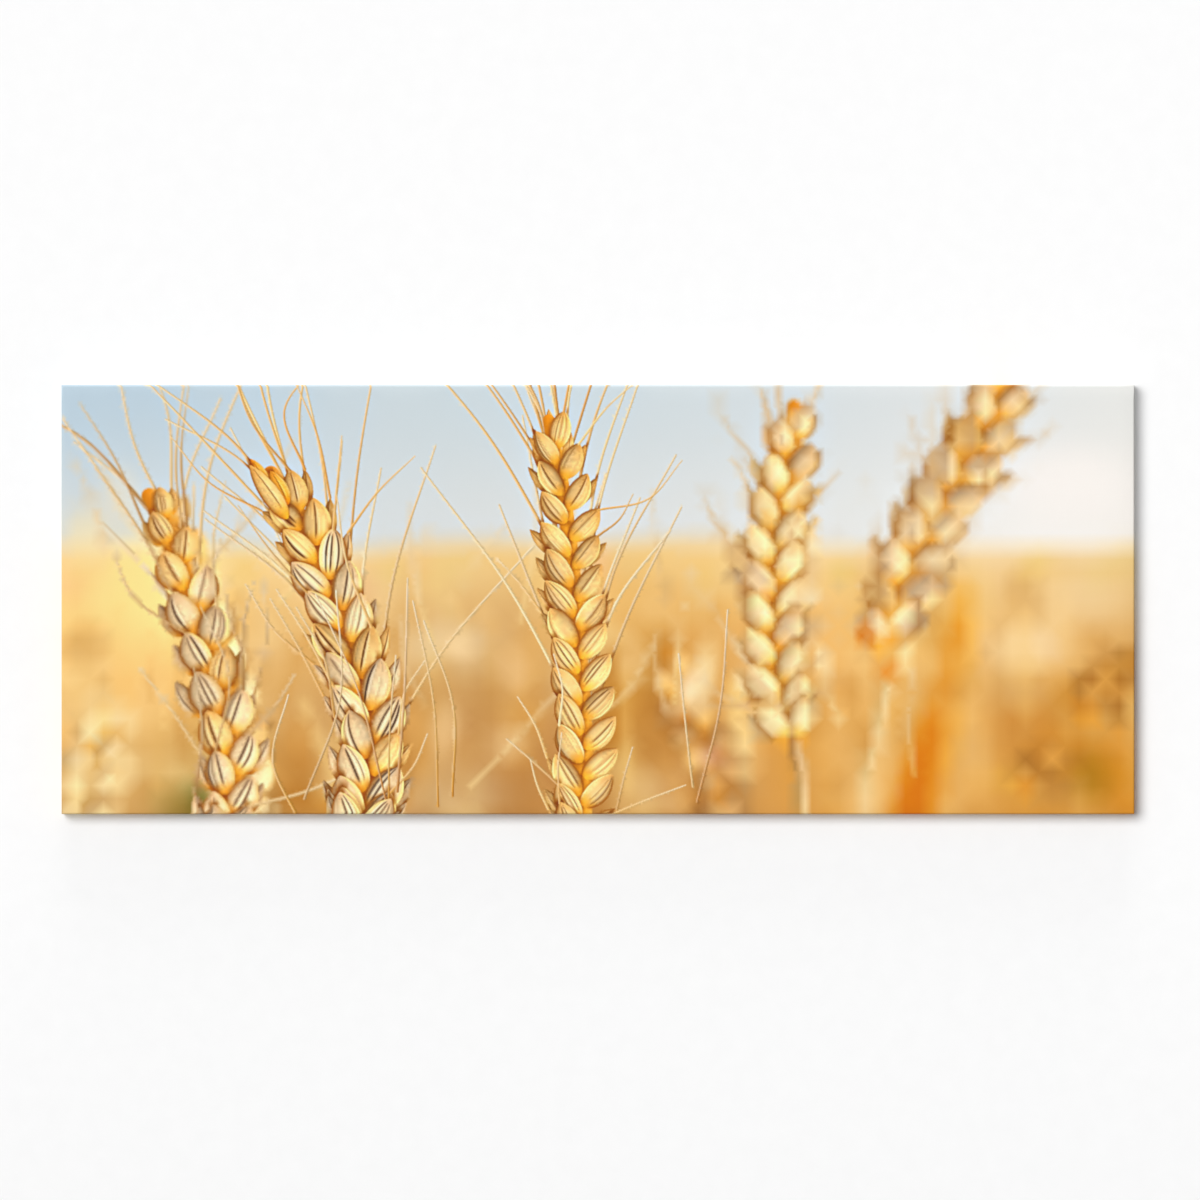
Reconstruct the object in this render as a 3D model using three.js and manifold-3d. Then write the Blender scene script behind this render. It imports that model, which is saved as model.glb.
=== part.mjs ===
// Panoramic canvas wall print: a printed canvas stretched over a wooden
// stretcher frame and stapled at the back, with corner keys, a centre brace,
// two sawtooth hangers and four rubber bumpers.
//
// Millimetres. X runs along the width, Z is up, the print faces -Y and the
// wall is the plane Y = 0. The origin is in the wall plane, midway between the
// two hangers, at the height of the roots of their teeth.

import * as THREE from 'three';
import { mergeVertices, mergeGeometries } from 'three/addons/utils/BufferGeometryUtils.js';
import Module from 'manifold-3d';

// ---------------------------------------------------------------- dimensions
const WIDTH = 1250;            // outside of the canvas
const HEIGHT = 500;
const DEPTH = 20;              // from the front of the canvas to the back of its hem
const CANVAS_T = 0.5;          // woven canvas with its primer and ink
const GAP = 0.3;               // clearance between pieces that touch
const BUMPER_H = 3;            // the bumpers hold the frame this far off the wall
const HEM_W = 20;              // canvas folded over the back of the bars
const EDGE_R_FRONT = 2.3;      // outside radius where the canvas turns the front edge
const EDGE_R_BACK = 1.3;

const BAR_W = 38;              // stretcher bar, across its face
const BEVEL = 3;               // the face falls away from the canvas by this much
const LIP_W = 5;               // raised outer lip that carries the canvas
const BAR_R = 1.5;
const BACK_CHEEK = 3.8;        // layers of the corner joint, counted from the back
const JOINT_T = 3.6;
const MID_CHEEK = 2.0;
const KEY_OUT = 12;            // how far a corner key stands out of its slot
const KEY_IN = 25;             // how deep it goes in
const KEY_WIDE = 9.5;
const KEY_NARROW = 6;

const BRACE_W = 38;
const BRACE_D = 13;
const TENON_L = 18;
const TENON_T = 5;

const STAPLE_W = 10;           // crown
const STAPLE_WIRE_W = 1.2;
const STAPLE_WIRE_T = 0.6;
const STAPLE_LEG = 8;
const STAPLE_INSET = 10.5;     // from the outside edge of the bar
const STAPLES_LONG = 12;
const STAPLES_SHORT = 5;
const STAPLE_RUN_LONG = 1080;
const STAPLE_RUN_SHORT = 340;

const HANGER_X = 400;          // each hanger from the middle
const HANGER_L = 46;
const HANGER_H = 9;
const HANGER_T = 0.8;
const HANGER_RISE = 2;         // the toothed part stands this far off the bar
const HANGER_FLAT = 9;         // flat ear at each end
const HANGER_RAMP = 3;
const HANGER_TEETH = 9;
const HANGER_INSET = 27.5;     // middle of the hanger from the outside edge of the bar
const TOOTH_D = 1.8;

const NAIL_HEAD_R = 1.9;
const NAIL_HEAD_T = 0.7;
const NAIL_R = 0.7;
const NAIL_L = 9;

const BUMPER_R = 5;
const BUMPER_INSET = 12;

// ------------------------------------------------------------- derived sizes
const HEM_BACK_Y = -(BUMPER_H + GAP);                    // back of the hem
const FRONT_Y = HEM_BACK_Y - DEPTH;                      // front of the canvas
const SKIN = CANVAS_T + GAP;
const BAR_BACK_Y = HEM_BACK_Y - SKIN;
const BAR_D = DEPTH - 2 * SKIN;
const BAR_L_LONG = WIDTH - 2 * SKIN;
const BAR_L_SHORT = HEIGHT - 2 * SKIN;
const TOP_Z = SKIN + HANGER_INSET + HANGER_H / 2 - TOOTH_D; // outside top edge
const MID_Z = TOP_Z - HEIGHT / 2;                        // middle of the print
const LAYER_BACK = [BACK_CHEEK, BACK_CHEEK + JOINT_T];
const LAYER_FRONT = [BACK_CHEEK + JOINT_T + MID_CHEEK, BACK_CHEEK + 2 * JOINT_T + MID_CHEEK];

// ------------------------------------------------------------------- helpers
const wasm = await Module();
wasm.setup();

function solid(geometry) {
  const g = geometry.clone();
  g.deleteAttribute('normal');
  g.deleteAttribute('uv');
  const m = mergeVertices(g, 1e-4);
  return new wasm.Manifold(new wasm.Mesh({
    numProp: 3,
    vertProperties: new Float32Array(m.attributes.position.array),
    triVerts: new Uint32Array(m.index.array),
  }));
}

function geometryOf(manifold) {
  const mesh = manifold.getMesh();
  const g = new THREE.BufferGeometry();
  g.setAttribute('position', new THREE.BufferAttribute(new Float32Array(mesh.vertProperties), 3));
  g.setIndex(new THREE.BufferAttribute(new Uint32Array(mesh.triVerts), 1));
  const flat = g.toNonIndexed();
  flat.computeVertexNormals();
  return flat;
}

function box(x0, x1, y0, y1, z0, z1) {
  const g = new THREE.BoxGeometry(x1 - x0, y1 - y0, z1 - z0);
  g.translate((x0 + x1) / 2, (y0 + y1) / 2, (z0 + z1) / 2);
  return g;
}

// A prism whose outline lies in the X-Z plane, from y0 to y1.
function plate(points, y0, y1) {
  const shape = new THREE.Shape(points.map(([x, z]) => new THREE.Vector2(x, z)));
  const g = new THREE.ExtrudeGeometry(shape, { depth: y1 - y0, bevelEnabled: false });
  g.rotateX(Math.PI / 2);               // outline y -> z, extrusion -> -y
  g.translate(0, y1, 0);
  return g;
}

// A prism whose outline lies in the Y-Z plane, from x0 to x1.
function profileAlongX(points, x0, x1) {
  const shape = new THREE.Shape(points.map(([y, z]) => new THREE.Vector2(y, z)));
  const g = new THREE.ExtrudeGeometry(shape, { depth: x1 - x0, bevelEnabled: false });
  // outline x -> Y, outline y -> Z, extrusion -> X
  g.applyMatrix4(new THREE.Matrix4().makeBasis(
    new THREE.Vector3(0, 1, 0), new THREE.Vector3(0, 0, 1), new THREE.Vector3(1, 0, 0)));
  g.translate(x0, 0, 0);
  return g;
}

function arc(cy, cz, r, from, to, steps) {
  const points = [];
  for (let i = 0; i <= steps; i++) {
    const a = THREE.MathUtils.degToRad(from + (to - from) * i / steps);
    points.push([cy + r * Math.cos(a), cz + r * Math.sin(a)]);
  }
  return points;
}

// Rounded rectangle in Y-Z, from front y0 to back y1 and -h/2 to h/2.
function roundedSection(y0, y1, h, rFront, rBack) {
  const t = h / 2;
  return [
    ...arc(y0 + rFront, -t + rFront, rFront, 180, 270, 4),
    ...arc(y1 - rBack, -t + rBack, rBack, 270, 360, 3),
    ...arc(y1 - rBack, t - rBack, rBack, 0, 90, 3),
    ...arc(y0 + rFront, t - rFront, rFront, 90, 180, 4),
  ];
}

// A block with all its long edges rounded: two prisms, one along each length.
function roundedBlock(w, h, y0, y1, rFront, rBack) {
  const a = solid(profileAlongX(roundedSection(y0, y1, h, rFront, rBack), -w / 2, w / 2));
  const across = profileAlongX(roundedSection(y0, y1, w, rFront, rBack), -h / 2, h / 2);
  across.rotateY(Math.PI / 2);
  return a.intersect(solid(across));
}

function steadyNoise(i) {
  const s = Math.sin(i * 127.1 + 311.7) * 43758.5453;
  return (s - Math.floor(s)) * 2 - 1;
}

// ----------------------------------------------------------------- materials
const canvasMaterial = new THREE.MeshStandardMaterial({ color: 0xd8c092, roughness: 0.85, metalness: 0 });
const woodMaterial = new THREE.MeshStandardMaterial({ color: 0xd9b98a, roughness: 0.7, metalness: 0 });
const keyMaterial = new THREE.MeshStandardMaterial({ color: 0xcda878, roughness: 0.7, metalness: 0 });
const steelMaterial = new THREE.MeshStandardMaterial({ color: 0xb9bcc0, roughness: 0.35, metalness: 1 });
const brassMaterial = new THREE.MeshStandardMaterial({ color: 0xc9a558, roughness: 0.35, metalness: 1 });
const rubberMaterial = new THREE.MeshStandardMaterial({ color: 0x3a3a3c, roughness: 0.8, metalness: 0 });

function named(name, geometry, material) {
  const mesh = new THREE.Mesh(geometry, material);
  mesh.name = name;
  return mesh;
}

// ------------------------------------------------------------ stretcher bars
// In a bar's own frame X is its length, +Z its outside edge and +Y its back:
// z = 0 is the inside edge, y = 0 the back face.
function barSection() {
  const f = -BAR_D;
  return [
    [0, 0],                                                    // back, inside
    ...arc(-0.8, BAR_W - 0.8, 0.8, 0, 90, 2),                  // back, outside
    ...arc(f + BAR_R, BAR_W - BAR_R, BAR_R, 90, 180, 3),       // front, outside
    [f, BAR_W - LIP_W],
    [f + BEVEL * 0.45, BAR_W - LIP_W - 2],
    [f + BEVEL, 0],                                            // front, inside
  ];
}

function keyOutline(end) {
  // The straight edge lies along the next bar's inside edge.
  const x = (u) => end * u;
  const points = [[x(-GAP), -KEY_OUT], [x(-GAP), KEY_IN], [x(-GAP - KEY_NARROW), KEY_IN], [x(-GAP - KEY_WIDE), -KEY_OUT]];
  return end > 0 ? points : points.reverse();
}

function bar({ length, tongue, slot, staples, nails = [], mortise = false }) {
  let body = solid(profileAlongX(barSection(), -length / 2, length / 2));
  const half = length / 2, inside = half - BAR_W, far = BAR_W + 2;
  const mitre = GAP * Math.SQRT1_2;
  for (const end of [-1, 1]) {
    // The cheeks stop at the mitre, and the tongue runs on to the corner.
    const wedge = [[end * (inside - 2 - mitre), -2], [end * (half + 4), -2],
      [end * (half + 4), far], [end * (half + 2 - mitre), far]];
    const outline = end > 0 ? wedge : [...wedge].reverse();
    body = body.subtract(solid(plate(outline, -tongue[0], 1)));
    body = body.subtract(solid(plate(outline, -BAR_D - 1, -tongue[1])));
    // Slot for the next bar's tongue, and beside it the slot for a key.
    const y0 = -slot[1] - GAP, y1 = -slot[0] + GAP;
    const cut = end > 0
      ? box(inside - GAP, half + 1, y0, y1, -1, BAR_W + 1)
      : box(-half - 1, -inside + GAP, y0, y1, -1, BAR_W + 1);
    body = body.subtract(solid(cut));
    const u0 = end * (inside + 1), u1 = end * (inside - KEY_NARROW - 2 * GAP);
    const u2 = end * (inside - KEY_WIDE - 2 * GAP);
    const keySlot = [[u0, -1], [u0, KEY_IN + GAP], [u1, KEY_IN + GAP], [u2, -1]];
    body = body.subtract(solid(plate(end > 0 ? keySlot : keySlot.reverse(), y0, y1)));
  }
  if (mortise) {
    const y = -BRACE_D / 2 - 0.8, t = TENON_T / 2 + GAP;
    body = body.subtract(solid(box(-BRACE_W / 2 - GAP, BRACE_W / 2 + GAP, y - t, y + t, -1, TENON_L + GAP)));
  }
  const legs = staples.flatMap((s) => staplePockets(s, -STAPLE_LEG - GAP, 1));
  body = body.subtract(solid(mergeGeometries(legs)));
  for (const [x, z] of nails) {
    body = body.subtract(solid(nailPocket(x, z)));
  }
  return geometryOf(body);
}

// ------------------------------------------------------------------- staples
// A staple lies on the back of the hem: x along the bar, z from its inside
// edge, turned a little from the line of the bar.
function stapleRow(count, run, seed) {
  const row = [];
  for (let i = 0; i < count; i++) {
    row.push({
      x: -run / 2 + run * i / (count - 1) + 6 * steadyNoise(seed + i),
      z: BAR_W - STAPLE_INSET + 1.2 * steadyNoise(seed + i + 0.37),
      turn: THREE.MathUtils.degToRad(9 * steadyNoise(seed + i + 0.71)),
    });
  }
  return row;
}

function staplePockets(s, y0, y1) {
  const reach = STAPLE_W / 2 - STAPLE_WIRE_T / 2;
  return [-1, 1].map((side) => {
    const g = new THREE.BoxGeometry(STAPLE_WIRE_T + 2 * GAP, y1 - y0, STAPLE_WIRE_W + 2 * GAP);
    g.translate(side * reach, (y0 + y1) / 2, 0);
    g.rotateY(s.turn);
    g.translate(s.x, 0, s.z);
    return g;
  });
}

function stapleGeometry() {
  // Outline in X-Y: crown at the back, two pointed legs running forward.
  const w = STAPLE_W / 2, t = STAPLE_WIRE_T, top = SKIN + GAP + t, foot = -(STAPLE_LEG - 0.4);
  const outline = [
    [-w, foot + 1.2], [-w + t * 0.5, foot], [-w + t, foot + 1.2], [-w + t, top - t - 0.25], [-w + t + 0.25, top - t],
    [w - t - 0.25, top - t], [w - t, top - t - 0.25], [w - t, foot + 1.2], [w - t * 0.5, foot], [w, foot + 1.2],
    [w, top - 0.5], [w - 0.15, top - 0.15], [w - 0.5, top], [-w + 0.5, top], [-w + 0.15, top - 0.15], [-w, top - 0.5],
  ];
  const shape = new THREE.Shape(outline.map(([x, y]) => new THREE.Vector2(x, y)));
  const g = new THREE.ExtrudeGeometry(shape, { depth: STAPLE_WIRE_W, bevelEnabled: false });
  g.translate(0, 0, -STAPLE_WIRE_W / 2);
  return g;
}

// ------------------------------------------------------------ hangers, nails
function nailPocket(x, z) {
  const g = new THREE.CylinderGeometry(NAIL_R + GAP, NAIL_R + GAP, NAIL_L + 2, 10);
  g.translate(x, -(NAIL_L + 2) / 2 + 1, z);
  return g;
}

function nailGeometry() {
  // From the point, forward in the wood, to the flat head at the back.
  const y0 = GAP + HANGER_T + GAP;
  const profile = [
    [0, -NAIL_L + 0.6], [NAIL_R, -NAIL_L + 2.2], [NAIL_R, y0], [NAIL_HEAD_R, y0],
    [NAIL_HEAD_R, y0 + NAIL_HEAD_T * 0.6], [NAIL_HEAD_R - 0.4, y0 + NAIL_HEAD_T], [0, y0 + NAIL_HEAD_T],
  ].map(([r, y]) => new THREE.Vector2(r, y));
  return new THREE.LatheGeometry(profile, 12);
}

function hangerGeometry() {
  // Side outline in X-Y: flat ears, ramps and a raised bridge.
  const l = HANGER_L / 2, e = l - HANGER_FLAT, r = e - HANGER_RAMP, t = HANGER_T, h = HANGER_RISE;
  const side = [
    [-l, 0], [-e, 0], [-r, h], [r, h], [e, 0], [l, 0],
    [l, t], [e + 0.25, t], [r + 0.25, h + t], [-r - 0.25, h + t], [-e - 0.25, t], [-l, t],
  ];
  const shape = new THREE.Shape(side.map(([x, y]) => new THREE.Vector2(x, y)));
  const g = new THREE.ExtrudeGeometry(shape, { depth: HANGER_H, bevelEnabled: false });
  g.translate(0, 0, -HANGER_H / 2);
  let body = solid(g);
  const pitch = 2 * (r - 1) / HANGER_TEETH;
  for (let i = 0; i < HANGER_TEETH; i++) {
    const x = -r + 1 + pitch * (i + 0.5);
    const notch = [[x - pitch * 0.48, -HANGER_H / 2 - 0.01], [x + pitch * 0.48, -HANGER_H / 2 - 0.01], [x, -HANGER_H / 2 + TOOTH_D]];
    body = body.subtract(solid(plate(notch, -1, h + t + 1)));
  }
  for (const x of [-l + 4.5, l - 4.5]) {
    const hole = new THREE.CylinderGeometry(NAIL_R + GAP, NAIL_R + GAP, 4, 12);
    hole.translate(x, 0, 0);
    body = body.subtract(solid(hole));
    const corner = x < 0 ? -1 : 1;
    for (const z of [-1, 1]) {
      const cut = [[corner * (l - 2), z * (HANGER_H / 2 + 0.01)], [corner * (l + 0.01), z * (HANGER_H / 2 + 0.01)], [corner * (l + 0.01), z * (HANGER_H / 2 - 2)]];
      body = body.subtract(solid(plate(corner * z > 0 ? cut.reverse() : cut, -1, 2)));
    }
  }
  return geometryOf(body);
}

// -------------------------------------------------------------------- canvas
// In the print's own frame: X-Z centred on the print, Y as in the wall frame.
function canvasGeometry(cutters) {
  const back = HEM_BACK_Y, front = FRONT_Y, t = CANVAS_T;
  let body = roundedBlock(WIDTH, HEIGHT, front, back, EDGE_R_FRONT, EDGE_R_BACK);
  body = body.subtract(roundedBlock(WIDTH - 2 * t, HEIGHT - 2 * t, front + t, back - t,
    EDGE_R_FRONT - t, EDGE_R_BACK - t));
  body = body.subtract(solid(box(-WIDTH / 2 + HEM_W, WIDTH / 2 - HEM_W, back - 2 * t, back + 1,
    -HEIGHT / 2 + HEM_W, HEIGHT / 2 - HEM_W)));
  body = body.subtract(solid(mergeGeometries(cutters)));
  return geometryOf(body);
}

function bumperGeometry() {
  const r = BUMPER_R, h = BUMPER_H;
  const profile = [[0, 0], [r, 0], [r, h * 0.4], [r - 0.4, h * 0.75], [r - 1.2, h], [0, h]]
    .map(([a, y]) => new THREE.Vector2(a, y));
  return new THREE.LatheGeometry(profile, 20);
}

// ------------------------------------------------------------------ assembly
const group = new THREE.Group();

const print = new THREE.Group();                 // centred on the print
print.position.set(0, 0, MID_Z);
group.add(print);

const sides = [
  { name: 'top', turn: 0, long: true },
  { name: 'bottom', turn: Math.PI, long: true },
  { name: 'left', turn: -Math.PI / 2, long: false },
  { name: 'right', turn: Math.PI / 2, long: false },
];
const canvasCutters = [];
const stapleShape = stapleGeometry();
const nailShape = nailGeometry();
const hangerShape = hangerGeometry();

sides.forEach(({ name, turn, long }, index) => {
  const length = long ? BAR_L_LONG : BAR_L_SHORT;
  const across = long ? BAR_L_SHORT : BAR_L_LONG;
  const staples = stapleRow(long ? STAPLES_LONG : STAPLES_SHORT,
    long ? STAPLE_RUN_LONG : STAPLE_RUN_SHORT, 20 * index + 3);
  const tongue = long ? LAYER_FRONT : LAYER_BACK;
  const slot = long ? LAYER_BACK : LAYER_FRONT;

  const turned = new THREE.Group();
  turned.rotation.y = turn;
  print.add(turned);
  const seat = new THREE.Group();                // the bar's own frame
  seat.position.set(0, BAR_BACK_Y, across / 2 - BAR_W);
  turned.add(seat);

  const hangers = name === 'top' ? [-HANGER_X, HANGER_X] : [];
  const hangerZ = BAR_W - HANGER_INSET;
  const nails = hangers.flatMap((x) => [-1, 1].map((s) => [x + s * (HANGER_L / 2 - 4.5), hangerZ]));

  seat.add(named(`stretcher_bar_${name}`,
    bar({ length, tongue, slot, staples, nails, mortise: long }), woodMaterial));

  for (const end of [-1, 1]) {
    const inside = length / 2 - BAR_W;
    const key = named(`corner_key_${name}_${end < 0 ? 'a' : 'b'}`,
      plate(keyOutline(end), -JOINT_T / 2, JOINT_T / 2), keyMaterial);
    key.position.set(end * inside, -(slot[0] + slot[1]) / 2, 0);
    seat.add(key);
  }

  staples.forEach((s, i) => {
    const staple = named(`staple_${name}_${String(i + 1).padStart(2, '0')}`, stapleShape, steelMaterial);
    staple.position.set(s.x, 0, s.z);
    staple.rotation.y = s.turn;
    seat.add(staple);
  });
  canvasCutters.push(...staples.flatMap((s) => staplePockets(s, 0, SKIN + 1)).map((g) => {
    group.updateMatrixWorld(true);
    const intoPrint = new THREE.Matrix4().copy(print.matrixWorld).invert().multiply(seat.matrixWorld);
    return g.clone().applyMatrix4(intoPrint);
  }));

  for (const [i, x] of hangers.entries()) {
    const hanger = named(`hanger_${i ? 'right' : 'left'}`, hangerShape, brassMaterial);
    hanger.position.set(x, GAP, hangerZ);
    seat.add(hanger);
  }
  nails.forEach(([x, z], i) => {
    const nail = named(`hanger_nail_${i + 1}`, nailShape, brassMaterial);
    nail.position.set(x, 0, z);
    seat.add(nail);
  });
});

print.add(named('canvas', canvasGeometry(canvasCutters), canvasMaterial));

// The brace stands between the long bars with a tenon into each.
{
  const inner = BAR_L_SHORT / 2 - BAR_W;
  const y = -BRACE_D / 2 - 0.8;
  let body = solid(box(-BRACE_W / 2, BRACE_W / 2, -BRACE_D - 0.8, -0.8, -inner + GAP, inner - GAP));
  body = body.add(solid(box(-BRACE_W / 2, BRACE_W / 2, y - TENON_T / 2, y + TENON_T / 2,
    -inner - TENON_L, inner + TENON_L)));
  const brace = named('centre_brace', geometryOf(body), woodMaterial);
  brace.position.set(0, BAR_BACK_Y, 0);
  print.add(brace);
}

const bumperShape = bumperGeometry();
for (const [name, sx, sz] of [['top_left', -1, 1], ['top_right', 1, 1], ['bottom_left', -1, -1], ['bottom_right', 1, -1]]) {
  const bumper = named(`bumper_${name}`, bumperShape, rubberMaterial);
  bumper.position.set(sx * (WIDTH / 2 - BUMPER_INSET), -BUMPER_H, sz * (HEIGHT / 2 - BUMPER_INSET));
  print.add(bumper);
}

export default group;
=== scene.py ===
import math

import bmesh
import bpy
import numpy as np
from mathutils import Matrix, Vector


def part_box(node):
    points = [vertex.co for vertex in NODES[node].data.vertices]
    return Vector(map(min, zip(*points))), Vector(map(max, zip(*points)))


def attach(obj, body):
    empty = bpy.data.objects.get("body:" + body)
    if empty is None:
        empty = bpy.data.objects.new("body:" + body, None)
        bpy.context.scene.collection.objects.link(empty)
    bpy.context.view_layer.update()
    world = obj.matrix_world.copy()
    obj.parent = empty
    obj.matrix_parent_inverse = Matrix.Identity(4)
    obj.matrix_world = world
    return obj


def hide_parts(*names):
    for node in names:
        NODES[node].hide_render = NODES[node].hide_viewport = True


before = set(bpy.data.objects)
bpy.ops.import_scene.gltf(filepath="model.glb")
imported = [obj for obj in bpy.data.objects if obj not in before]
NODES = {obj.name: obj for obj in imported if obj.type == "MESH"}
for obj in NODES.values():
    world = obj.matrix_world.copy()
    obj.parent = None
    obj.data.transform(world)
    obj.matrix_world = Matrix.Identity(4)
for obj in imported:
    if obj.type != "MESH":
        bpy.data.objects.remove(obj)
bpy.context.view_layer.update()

# ---------------------------------------------------------------- sizes (m)
low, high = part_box("canvas")
HALF_W = (high.x - low.x) / 2
HALF_H = (high.z - low.z) / 2
MID_Z = (high.z + low.z) / 2
FRONT = low.y                 # printed face
HEM_BACK = high.y             # back of the turned-over hem
CLOTH = 0.0005
EDGE_FRONT = 0.0023
EDGE_BACK = 0.0013
HEM = 0.020
SIDE = HEM_BACK - FRONT


# picture-begin
# ============================================================== the picture
# It is drawn in units of 1.165 mm, from the top left corner of the print:
# PW wide and PH high. Everything is drawn by these functions.
PW, PH = 1073.0, 429.0
EDGE = 26.0          # how far the drawing runs past the print on each side


def tone(*c):
    return np.array(c, float) / 255.0


def ramp(a, b, x):
    t = np.clip((x - a) / (b - a), 0, 1)
    return t * t * (3 - 2 * t)


def blur_axis(a, sigma, axis):
    r = max(1, int(math.ceil(3 * sigma)))
    k = np.exp(-0.5 * (np.arange(-r, r + 1) / sigma) ** 2)
    k /= k.sum()
    n = a.shape[axis]
    pad = [(0, 0)] * a.ndim
    pad[axis] = (r, r)
    p = np.pad(a, pad, mode="edge")
    if r <= 6:
        out = np.zeros_like(a, dtype=np.float32)
        for i, w in enumerate(k):
            cut = [slice(None)] * a.ndim
            cut[axis] = slice(i, i + n)
            out += np.float32(w) * p[tuple(cut)]
        return out
    size = 1
    while size < p.shape[axis]:
        size *= 2
    kf = np.zeros(size)
    kf[: 2 * r + 1] = k
    kf = np.fft.rfft(np.roll(kf, -r))
    shape = [1] * a.ndim
    shape[axis] = len(kf)
    out = np.fft.irfft(np.fft.rfft(p, size, axis=axis) * kf.reshape(shape), size, axis=axis)
    cut = [slice(None)] * a.ndim
    cut[axis] = slice(r, r + n)
    return out[tuple(cut)].astype(np.float32)


def blur(a, sigma):
    return a if sigma < 0.3 else blur_axis(blur_axis(a, sigma, 0), sigma, 1)


class Layer:
    """A see-through sheet to draw on, s samples to a unit, premultiplied."""

    def __init__(self, s):
        self.s = s
        self.w = int(round((PW + 2 * EDGE) * s))
        self.h = int(round((PH + 2 * EDGE) * s))
        self.px = np.zeros((self.h, self.w, 4), np.float32)

    def window(self, xa, ya, xb, yb):
        s = self.s
        i0 = max(0, int((ya + EDGE) * s))
        i1 = min(self.h, int((yb + EDGE) * s) + 2)
        j0 = max(0, int((xa + EDGE) * s))
        j1 = min(self.w, int((xb + EDGE) * s) + 2)
        if i0 >= i1 or j0 >= j1:
            return None
        y = (np.arange(i0, i1)[:, None] + 0.5) / s - EDGE
        x = (np.arange(j0, j1)[None, :] + 0.5) / s - EDGE
        return (slice(i0, i1), slice(j0, j1)), x, y

    def over(self, where, rgb, a):
        d = self.px[where]
        a = np.clip(a, 0, 1)[..., None].astype(np.float32)
        d *= 1 - a
        d[..., :3] += rgb * a
        d[..., 3:] += a

    def onto(self, base, sigma=0.0):
        top = blur(self.px, sigma * self.s)
        return base * (1 - top[..., 3:]) + top[..., :3]


def finer(a):
    """Twice the samples each way."""
    a = np.repeat(np.repeat(a, 2, 0), 2, 1)
    return blur(a, 0.8)


def spline(points, step=5.0):
    p = np.array(points, float)
    q = np.vstack([2 * p[0] - p[1], p, 2 * p[-1] - p[-2]])
    out = []
    for i in range(1, len(q) - 2):
        a, b, c, d = q[i - 1], q[i], q[i + 1], q[i + 2]
        n = max(3, int(np.hypot(*(c - b)) / step))
        t = np.linspace(0, 1, n, endpoint=False)[:, None]
        out.append(0.5 * (2 * b + (c - a) * t + (2 * a - 5 * b + 4 * c - d) * t ** 2 + (3 * b - a - 3 * c + d) * t ** 3))
    out.append(p[-1:])
    line = np.vstack(out)
    along = np.concatenate([[0], np.cumsum(np.hypot(*(line[1:] - line[:-1]).T))])
    return line, along


GRAIN = dict(
    grey=(tone(244, 176, 78), tone(238, 208, 164), tone(216, 180, 136), tone(108, 82, 62)),
    warm=(tone(244, 174, 70), tone(240, 200, 138), tone(222, 174, 110), tone(122, 80, 44)),
    gold=(tone(238, 156, 46), tone(240, 184, 92), tone(224, 160, 74), tone(136, 82, 34)),
    pale=(tone(248, 200, 112), tone(250, 224, 174), tone(244, 210, 154), tone(176, 132, 86)),
    deep=(tone(222, 146, 54), tone(222, 170, 96), tone(206, 150, 80), tone(120, 76, 38)),
    dusk=(tone(226, 146, 58), tone(214, 172, 118), tone(188, 142, 92), tone(112, 78, 52)),
    amber=(tone(226, 138, 34), tone(234, 164, 62), tone(224, 150, 54), tone(166, 96, 26)),
)


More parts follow.
